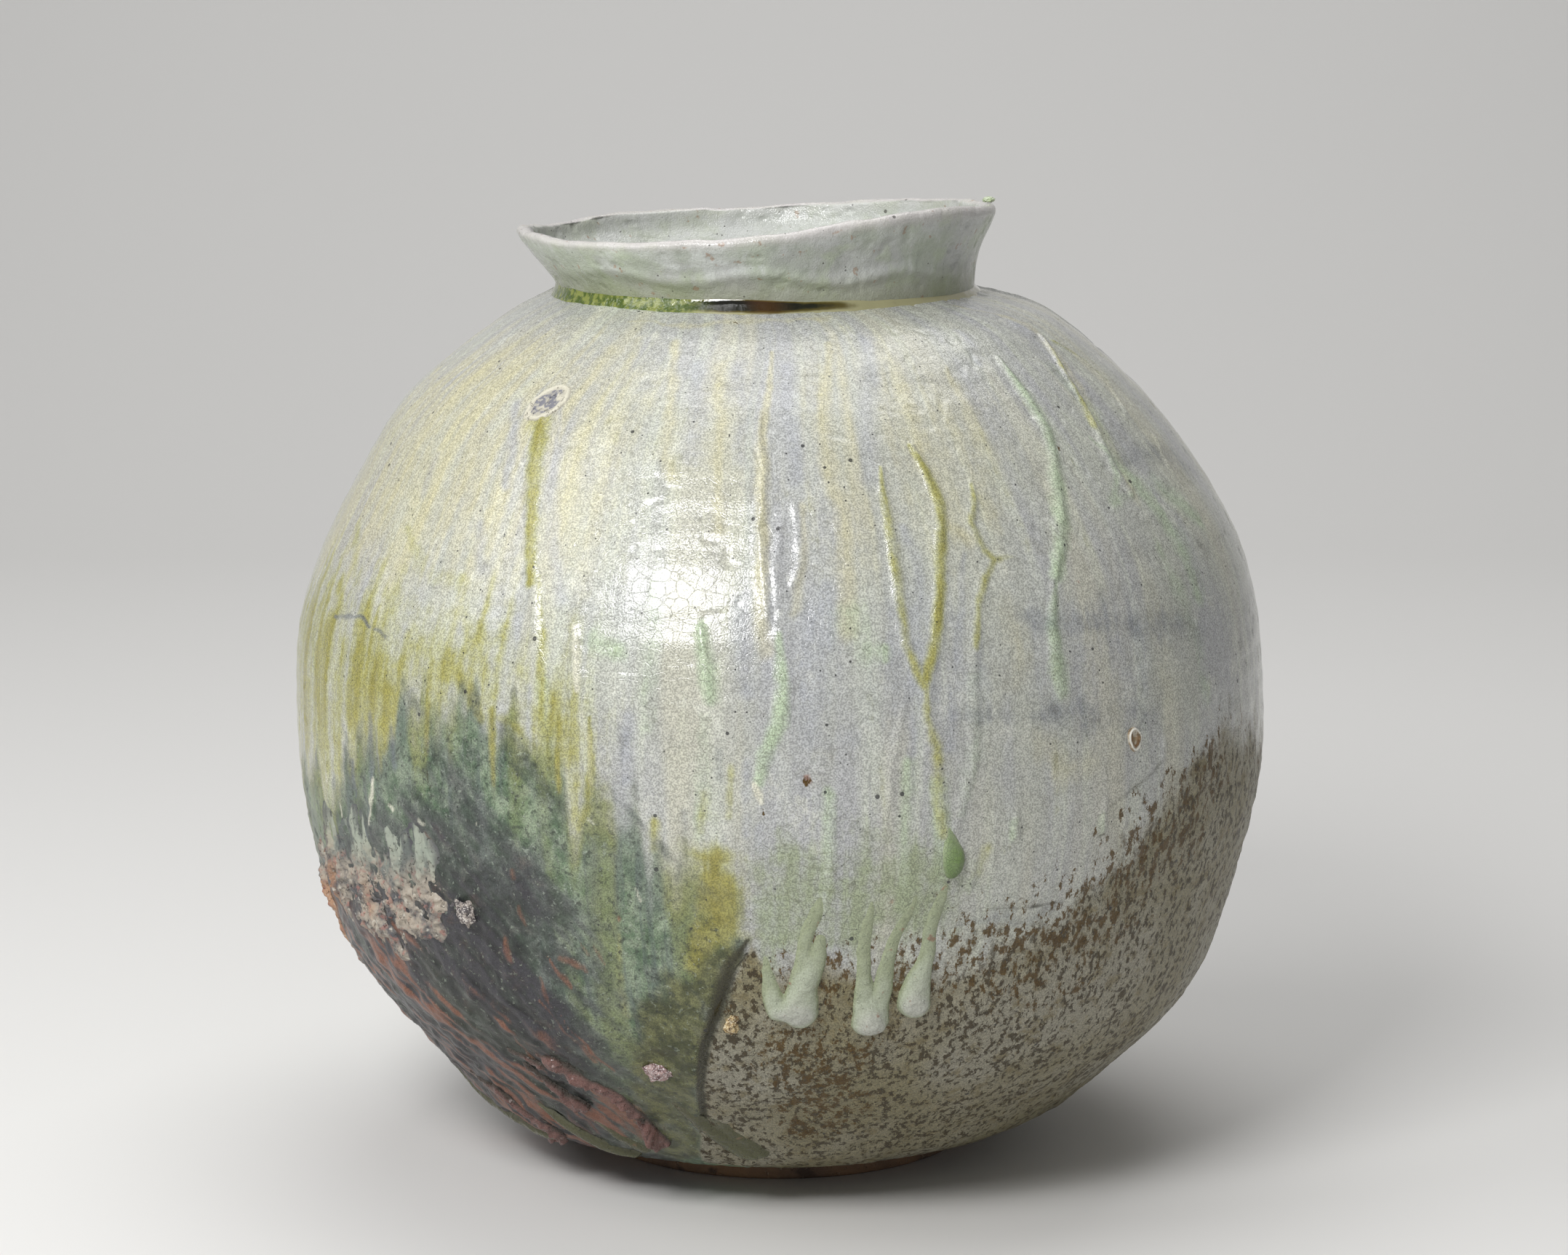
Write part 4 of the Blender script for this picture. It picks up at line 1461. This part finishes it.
milky = strand_material("milky_drip_glaze", (150, 158, 128), (170, 177, 156), (178, 179, 170), (146, 108, 88),
                        0.10, 0.0006)
white_drips = (
    ("white_drip_left", 91, (
        ((1138, 1216, 6, 0.5), (1130, 1242, 10, 0.9), (1116, 1270, 11, 1.3), (1106, 1296, 11, 1.4),
         (1106, 1318, 14, 1.9), (1106, 1345, 19, 2.8), (1102, 1372, 24, 4.2), (1098, 1392, 27, 5.4)),
        ((1128, 1290, 9, 1.0), (1122, 1320, 14, 2.0), (1112, 1350, 17, 3.0)),
        ((1052, 1318, 7, 0.7), (1056, 1342, 11, 1.2), (1062, 1366, 15, 2.2), (1074, 1390, 20, 4.4)))),
    ("white_drip_middle", 92, (
        ((1200, 1236, 6, 0.5), (1195, 1262, 9, 1.0), (1190, 1290, 10, 1.3), (1188, 1320, 11, 1.5),
         (1188, 1350, 13, 2.0), (1190, 1380, 18, 3.0), (1194, 1404, 25, 5.2)),
        ((1262, 1224, 6, 0.5), (1250, 1254, 9, 1.0), (1232, 1286, 10, 1.3), (1222, 1316, 11, 1.5),
         (1216, 1346, 13, 2.0), (1208, 1376, 17, 3.0), (1202, 1400, 22, 4.6)))),
    ("white_drip_right", 93, (
        ((1304, 1206, 6, 0.5), (1294, 1232, 10, 1.0), (1284, 1264, 11, 1.4), (1277, 1296, 12, 1.6),
         (1270, 1326, 15, 2.4), (1262, 1354, 20, 3.8), (1257, 1378, 24, 5.2)),)),
)
for name, seed, strands in white_drips:
    drip = strand_piece(name + "_bead", strands, seed, rough=0.13)
    drip.data.materials.append(milky)
    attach(drip, "root")
    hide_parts(name)

drop_strand = ((1300, 1120, 6, 0.6), (1304, 1142, 9, 1.4), (1309, 1164, 12, 2.5), (1312, 1184, 16, 3.7),
               (1308, 1198, 11, 2.8))
green_drop = strand_piece("green_glass_drop_bead", (drop_strand,), 94, rough=0.16, spacing=0.4)
drop_material, tree, surface = new_material("green_drop_glass")
place = object_place(tree)
tall_part, tip_part = parts_of(tree, "strand_marks")[:2]
crack = joined(crackle, Place=place, Scale=700.0)[0]
colour = mixed(between(tall_part, 0.1, 0.8), (168, 180, 146), (116, 138, 88))
colour = mixed(times(tip_part, 0.5), colour, (74, 98, 46))
colour = mixed(times(crack, 0.3), colour, (206, 222, 190))
finish_material(surface, colour, 0.08, crack, 0.0002)
green_drop.data.materials.append(drop_material)
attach(green_drop, "root")
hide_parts("green_glass_drop")

pink_slag = strand_material("pink_slag", (66, 58, 50), (112, 82, 76), (158, 120, 118), (180, 166, 162),
                            0.22, 0.0012)
slag_strands = (
    ((741, 1452, 8, 1.2), (768, 1466, 16, 2.6), (800, 1484, 14, 2.8), (832, 1498, 12, 2.6),
     (856, 1514, 13, 3.2), (880, 1538, 12, 3.6), (898, 1558, 14, 4.4), (908, 1570, 15, 4.6)),
    ((648, 1474, 6, 1.0), (690, 1504, 9, 1.8), (730, 1534, 12, 2.4), (766, 1562, 15, 3.4),
     (784, 1574, 14, 3.4)),
    ((722, 1466, 6, 1.0), (752, 1490, 10, 2.2), (784, 1512, 13, 3.2), (800, 1522, 12, 3.2)),
    ((700, 1446, 5, 1.0), (722, 1456, 8, 1.8), (744, 1466, 8, 2.0)),
)
slag = strand_piece("slag_strands", slag_strands, 95, rough=0.95)
slag.data.materials.append(pink_slag)
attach(slag, "root")
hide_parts("slag_drips")

dark_drips = strand_material("dark_foot_drip", (96, 96, 74), (84, 84, 58), (88, 90, 58), (120, 100, 74),
                             0.12, 0.0008)
foot_drips = (
    ("foot_drip_left", 96, (
        ((576, 1440, 5, 0.8), (604, 1474, 8, 1.4), (650, 1514, 12, 2.2), (700, 1546, 16, 3.2),
         (736, 1564, 16, 3.4)),)),
    ("foot_drip_middle", 97, (
        ((740, 1520, 6, 1.0), (780, 1548, 12, 2.4), (826, 1572, 16, 3.2), (868, 1586, 15, 3.2)),
        ((800, 1530, 5, 0.8), (838, 1556, 10, 1.6), (884, 1580, 12, 2.4)))),
    ("foot_drip_right", 98, (
        ((930, 1520, 8, 0.9), (965, 1548, 13, 1.8), (1002, 1574, 15, 2.4), (1030, 1590, 14, 2.4)),
        ((980, 1540, 8, 0.8), (1010, 1566, 13, 1.4), (1044, 1588, 15, 2.0)))),
)
for name, seed, strands in foot_drips:
    drip = strand_piece(name + "_glaze", strands, seed)
    drip.data.materials.append(dark_drips)
    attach(drip, "root")
    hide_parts(name)


# The crust from the fire bed
# Embers and clinker stuck to the left side: pale crystals above, running into orange and pink crust
# with grey between. It is one rough sheet with gaps in it, fused to the wall.

crust_outline = outlined(((440, 1100), (470, 1112), (520, 1118), (592, 1134), (604, 1180), (618, 1236),
                          (606, 1282), (590, 1312), (556, 1322), (516, 1296), (478, 1258), (450, 1205)),
                         ((-166, 118), (-170, 150), (-166, 172)))
crust_top = crust_outline[:, 1].max()
crust_span = (math.radians(-166), math.radians(-130), crust_outline[:, 1].min() - 4, crust_top + 4)
crust_rise = 4.2


def crust_height(angle, climb):
    """Height of the crust, with its gaps, and its marks."""
    smooth = on_wall(angle, climb)[0]
    sway = (lumps(smooth, 9, 101) * 2.5 + lumps(smooth, 3, 102)) / half_at(climb)
    place = (angle + sway, climb + 3 * lumps(smooth, 8, 103))
    within = ease(depth_in(place, crust_outline) + 5 * lumps(smooth * (1, 1, 0.5), 7, 110), -3.0, 9.0)
    rough = (0.62 + 0.42 * lumps(smooth, 9, 104) + 0.30 * lumps(smooth, 4, 105) + 0.22 * lumps(smooth, 2, 106)
             + 0.14 * lumps(smooth, 1.1, 107))
    drips = 0.5 + 0.5 * lumps(smooth * (1, 1, 0.25), 3.0, 108)
    above = ease(climb + 3 * lumps(smooth, 6, 112), crust_top - 34, crust_top - 14)
    height = crust_rise * within * np.clip(rough * (1 - 0.8 * above) + 0.55 * above * drips - 0.20, 0, 1)
    on_left = 1 - 0.75 * ease(angle, math.radians(-154), math.radians(-136))
    warm = np.clip(0.5 + 0.7 * lumps(smooth, 14, 109), 0, 1) * on_left
    return height, {"crust_marks": np.stack((height / crust_rise, above, warm), -1)}


crust = patch_piece("ember_crust_shell", crust_span, crust_height, spacing=0.45)
crust_material, tree, surface = new_material("ember_crust")
place = object_place(tree)
tall_part, above_part, warm_part = parts_of(tree, "crust_marks")
ash = joined(ash_grain, Place=place)
blot = noise(place, 95.0, 4.0, 0.65)
fleck = noise(place, 260.0, 3.0, 0.6)
colour = mixed(between(blot, 0.36, 0.60), (88, 88, 90), (168, 158, 144))
warm_blot = between(plus(warm_part, times(blot, 0.6)), 0.55, 0.95)
colour = mixed(times(warm_blot, 0.7), colour, (178, 130, 94))
colour = mixed(between(fleck, 0.54, 0.66, 0.0, 0.7), colour, (156, 112, 102))
colour = mixed(between(fleck, 0.30, 0.40, 0.8, 0.0), colour, (200, 196, 184))
drip = noise(stretched(place, (1, 1, 0.25)), 150.0, 3.0)
above_tone = mixed(between(drip, 0.42, 0.56), (96, 104, 100), (156, 164, 150))
colour = mixed(times(above_part, 0.92), colour, above_tone)
colour = mixed(between(tall_part, 0.02, 0.22, 0.85, 0.0), colour, (74, 72, 78))
crust_grit = plus(times(fleck, 0.8), ash["Salt"])
finish_material(surface, colour, between(ash["Grain"], 0, 1, 0.40, 0.72), crust_grit, 0.0010)
crust.data.materials.append(crust_material)
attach(crust, "root")
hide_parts("ember_crust")


# The scar of a clay wad
# Another pot was propped on the shoulder on a wad of clay. Breaking it off left a low ring of cream
# crust with grey clay inside it.

wad_spot = traced((753, 552, 1))[0]


def scar_piece(name, spot, half_across, half_up, lean, ring_rise, core_rise, seed):
    """Scar sheet round a spot on the wall: a ring that stands round a rough core."""
    pad = 1.3 * max(half_across, half_up)
    wide = pad / half_at(spot[1])

    def height_of(angle, climb):
        smooth = on_wall(angle, climb)[0]
        across = ((angle - spot[0] + math.pi) % (2 * math.pi) - math.pi) * half_at(spot[1])
        up = climb - spot[1]
        turned = across * math.cos(lean) + up * math.sin(lean)
        along = up * math.cos(lean) - across * math.sin(lean)
        ratio = np.hypot(turned / half_across, along / half_up)
        ratio = ratio + 0.09 * lumps(smooth, 4, seed) + 0.04 * lumps(smooth, 1.6, seed + 1)
        crest = np.exp(-((ratio - 0.86) / 0.13) ** 2) * (1 + 0.3 * lumps(smooth, 3, seed + 2))
        core = (1 - ease(ratio, 0.55, 0.80)) * np.clip(0.55 + 0.6 * lumps(smooth, 2.2, seed + 3), 0, 1)
        height = (ring_rise * crest + core_rise * core) * (ratio < 1.12) + 0.35 * (ratio < 1.0)
        return height * (1 - ease(ratio, 1.0, 1.12)), {"scar_marks": np.stack((crest, core, ratio), -1)}

    span = (spot[0] - wide, spot[0] + wide, spot[1] - pad, spot[1] + pad)
    return patch_piece(name, span, height_of, spacing=0.3, sink=0.3)


def scar_material(name, ring_tone, core_tone, between_tone):
    """Cream crust round grey or brown broken clay."""
    material, tree, surface = new_material(name)
    place = object_place(tree)
    ring_part, core_part = parts_of(tree, "scar_marks")[:2]
    ash = joined(ash_grain, Place=place)
    blot = noise(place, 260.0, 3.0, 0.6)
    colour = mixed(between(blot, 0.42, 0.60), between_tone, ring_tone)
    broken = shaken(core_part, blot, 0.5)
    colour = mixed(between(broken, 0.22, 0.42), colour, core_tone)
    grains = between(noise(place, 520.0, 2.0), 0.54, 0.62, 0.0, 0.75)
    colour = mixed(grains, colour, between_tone)
    colour = mixed(between(ring_part, 0.45, 0.8), colour, ring_tone)
    rough = between(ash["Grain"], 0, 1, 0.35, 0.65)
    finish_material(surface, colour, rough, plus(blot, ash["Salt"]), 0.0008)
    return material


wad_scar = scar_piece("wad_scar_crust", wad_spot, half_across=8.0, half_up=10.6, lean=math.radians(-32),
                      ring_rise=1.0, core_rise=1.1, seed=111)
scar_clay = scar_material("wad_scar_clay", (206, 202, 184), (120, 120, 128), (180, 176, 162))
wad_scar.data.materials.append(scar_clay)
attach(wad_scar, "root")
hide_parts("shoulder_wad_scar")


# Stones and the bead on the lip
# Grit in the clay popped out through the glaze on the right, and stones and clinker from the fire bed
# stuck to the dark side. A bead of pale glass hangs on the high point of the lip.

popped_spot = traced((1563, 1016, 1))[0]
popped = scar_piece("popped_stone_crater", popped_spot, half_across=3.4, half_up=4.9, lean=math.radians(12),
                    ring_rise=1.1, core_rise=1.7, seed=121)
popped.data.materials.append(scar_material("popped_stone", (224, 222, 212), (120, 92, 62), (150, 132, 104)))
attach(popped, "root")
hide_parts("popped_stone")


def rock_piece(name, centre, axes, reach, seed, rugged, cut_depth=(0.60, 0.92)):
    """Broken stone: a lump cut by flat breaks, with a size along each of three directions in mm."""
    around = np.linspace(-math.pi, math.pi, 72, endpoint=False)
    rise, turn = np.meshgrid(np.linspace(-1.55, 1.55, 44), around, indexing="ij")
    lump = ring(turn, np.cos(rise), np.sin(rise)).reshape(-1, 3)
    dice = np.random.default_rng(seed)
    for number in range(16):
        cut = dice.normal(size=3)
        cut /= np.linalg.norm(cut)
        over = np.clip(lump @ cut - dice.uniform(*cut_depth), 0, None)
        lump -= 0.92 * over[:, None] * cut
    lump *= (1 + rugged * lumps(lump * 10, 5, seed) + 1.2 * rugged * lumps(lump * 10, 2.4, seed + 1))[:, None]
    points = centre + (lump * reach) @ axes
    return skin_piece(name, points.reshape(rise.shape + (3,)))


def wall_axes(angle, climb):
    """Directions round, up and out of the wall at a spot."""
    spot, outward = on_wall(np.array([angle]), np.array([climb]))
    round_wall = np.array((-math.sin(angle), math.cos(angle), 0))
    upwards = np.cross(outward[0], round_wall)
    return spot[0], np.stack((round_wall, upwards, outward[0]))


def stone_material(name, tone, dark, glint):
    """Broken stone with grains of two colours and a few bright ones."""
    material, tree, surface = new_material(name)
    place = object_place(tree)
    blot = noise(place, 340.0, 3.0, 0.65)
    ash = joined(ash_grain, Place=place)
    colour = mixed(between(blot, 0.40, 0.58), dark, tone)
    colour = mixed(between(ash["Grain"], 0.72, 0.9, 0.0, 0.8), colour, glint)
    rough = between(ash["Grain"], 0, 1, 0.65, 0.30)
    finish_material(surface, colour, rough, plus(blot, ash["Salt"]), 0.0010)
    return material


stones = (
    ("crust_stone", (641, 1256, 1), (5.4, 6.6, 3.6), 131, ((166, 156, 148), (84, 78, 80), (222, 216, 208))),
    ("edge_stone", (1006, 1408, 1), (4.0, 4.6, 3.0), 132, ((196, 172, 126), (96, 70, 38), (236, 226, 196))),
    ("slag_stone", (905, 1474, 1), (6.4, 6.0, 4.2), 133, ((176, 150, 146), (112, 84, 84), (222, 212, 212))),
)
stone_sink = 0.6
for name, mark, reach, seed, tones in stones:
    turn, climb = traced(mark)[0][:2]
    spot, axes = wall_axes(turn, climb)
    rock = rock_piece(name + "_rock", spot - stone_sink * axes[2], axes, np.array(reach), seed, rugged=0.16)
    rock.data.materials.append(stone_material(name, *tones))
    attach(rock, "root")
    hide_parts(name)

nib_low, nib_high = (np.array(corner) * 1000 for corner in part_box("lip_nib"))
nib_reach = (nib_high - nib_low) / 2 * (1, 1, 1.05)
nib = rock_piece("lip_bead", (nib_low + nib_high) / 2, np.eye(3), nib_reach, 141, rugged=0.12,
                 cut_depth=(0.9, 1.0))
nib_material, tree, surface = new_material("lip_bead_glass")
place = object_place(tree)
blot = noise(place, 300.0, 2.0)
colour = mixed(between(blot, 0.35, 0.65), (196, 206, 180), (168, 184, 140))
finish_material(surface, colour, 0.14, blot, 0.0002)
nib.data.materials.append(nib_material)
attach(nib, "root")
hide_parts("lip_nib")


# Floor, light and camera
# A pale paper sweep, a softbox high on the left that leaves its square glint on the glaze, a wide one
# farther left and one above and behind. The camera stands where the photograph was taken. Lengths of
# the sweep and the lights are in metres.

sweep_width = 24.0
sweep_front = -16.0
sweep_back = 1.6
sweep_round = 1.2
sweep_top = 4.0
sweep_line = [(sweep_front, 0.0), (sweep_back, 0.0)]
sweep_line += [(sweep_back + sweep_round * math.sin(turn), sweep_round * (1 - math.cos(turn)))
               for turn in np.linspace(0.05, math.pi / 2, 24)]
sweep_line.append((sweep_back + sweep_round, sweep_top))
corners = [(side * sweep_width / 2, back, high) for back, high in sweep_line for side in (-1, 1)]
panels = [(2 * step, 2 * step + 1, 2 * step + 3, 2 * step + 2) for step in range(len(sweep_line) - 1)]
floor_mesh = bpy.data.meshes.new("floor")
floor_mesh.from_pydata(corners, [], panels)
floor_mesh.polygons.foreach_set("use_smooth", [True] * len(panels))
floor = bpy.data.objects.new("floor", floor_mesh)
bpy.context.scene.collection.objects.link(floor)
floor_material, tree, surface = new_material("floor")
surface.inputs["Base Color"].default_value = paint(226, 225, 223)
surface.inputs["Roughness"].default_value = 0.7
floor_mesh.materials.append(floor_material)

world = bpy.data.worlds.new("studio")
bpy.context.scene.world = world
world.use_nodes = True
tree = world.node_tree
tree.nodes.clear()
soft_light = node(tree, "ShaderNodeBackground", (), Color=(1, 1, 1, 1), Strength=0.24)
sky = node(tree, "ShaderNodeOutputWorld")
tree.links.new(soft_light.outputs[0], sky.inputs["Surface"])


def softbox(name, place, towards, width, height, power):
    """Rectangular studio light, with its power in watts."""
    lamp = bpy.data.lights.new(name, "AREA")
    lamp.shape = "RECTANGLE"
    lamp.size = width
    lamp.size_y = height
    lamp.energy = power
    stand = bpy.data.objects.new(name, lamp)
    stand.location = place
    facing = np.array(place) - np.array(towards)
    tilt = math.acos(facing[2] / np.linalg.norm(facing))
    stand.rotation_euler = (tilt, 0, math.atan2(facing[1], facing[0]) + math.pi / 2)
    bpy.context.scene.collection.objects.link(stand)


softbox("key_softbox", (-0.60, -1.20, 1.24), (-0.03, -0.1, 0.24), width=0.64, height=0.50, power=19.0)
softbox("side_softbox", (-1.7, -0.5, 1.7), (0, 0, 0.22), width=1.2, height=1.2, power=13.0)
softbox("top_softbox", (0.2, 0.9, 2.6), (0, 0.4, 0.2), width=2.0, height=2.0, power=30.0)

camera_lens = bpy.data.cameras.new("camera")
camera_lens.lens = lens
camera_lens.sensor_width = sensor
camera_lens.sensor_fit = "HORIZONTAL"
camera = bpy.data.objects.new("camera", camera_lens)
camera.location = camera_place / 1000
camera.rotation_euler = (math.pi / 2 - camera_pitch, 0, 0)
bpy.context.scene.collection.objects.link(camera)
bpy.context.scene.camera = camera
bpy.context.scene.view_settings.view_transform = "Standard"

bpy.context.view_layer.update()
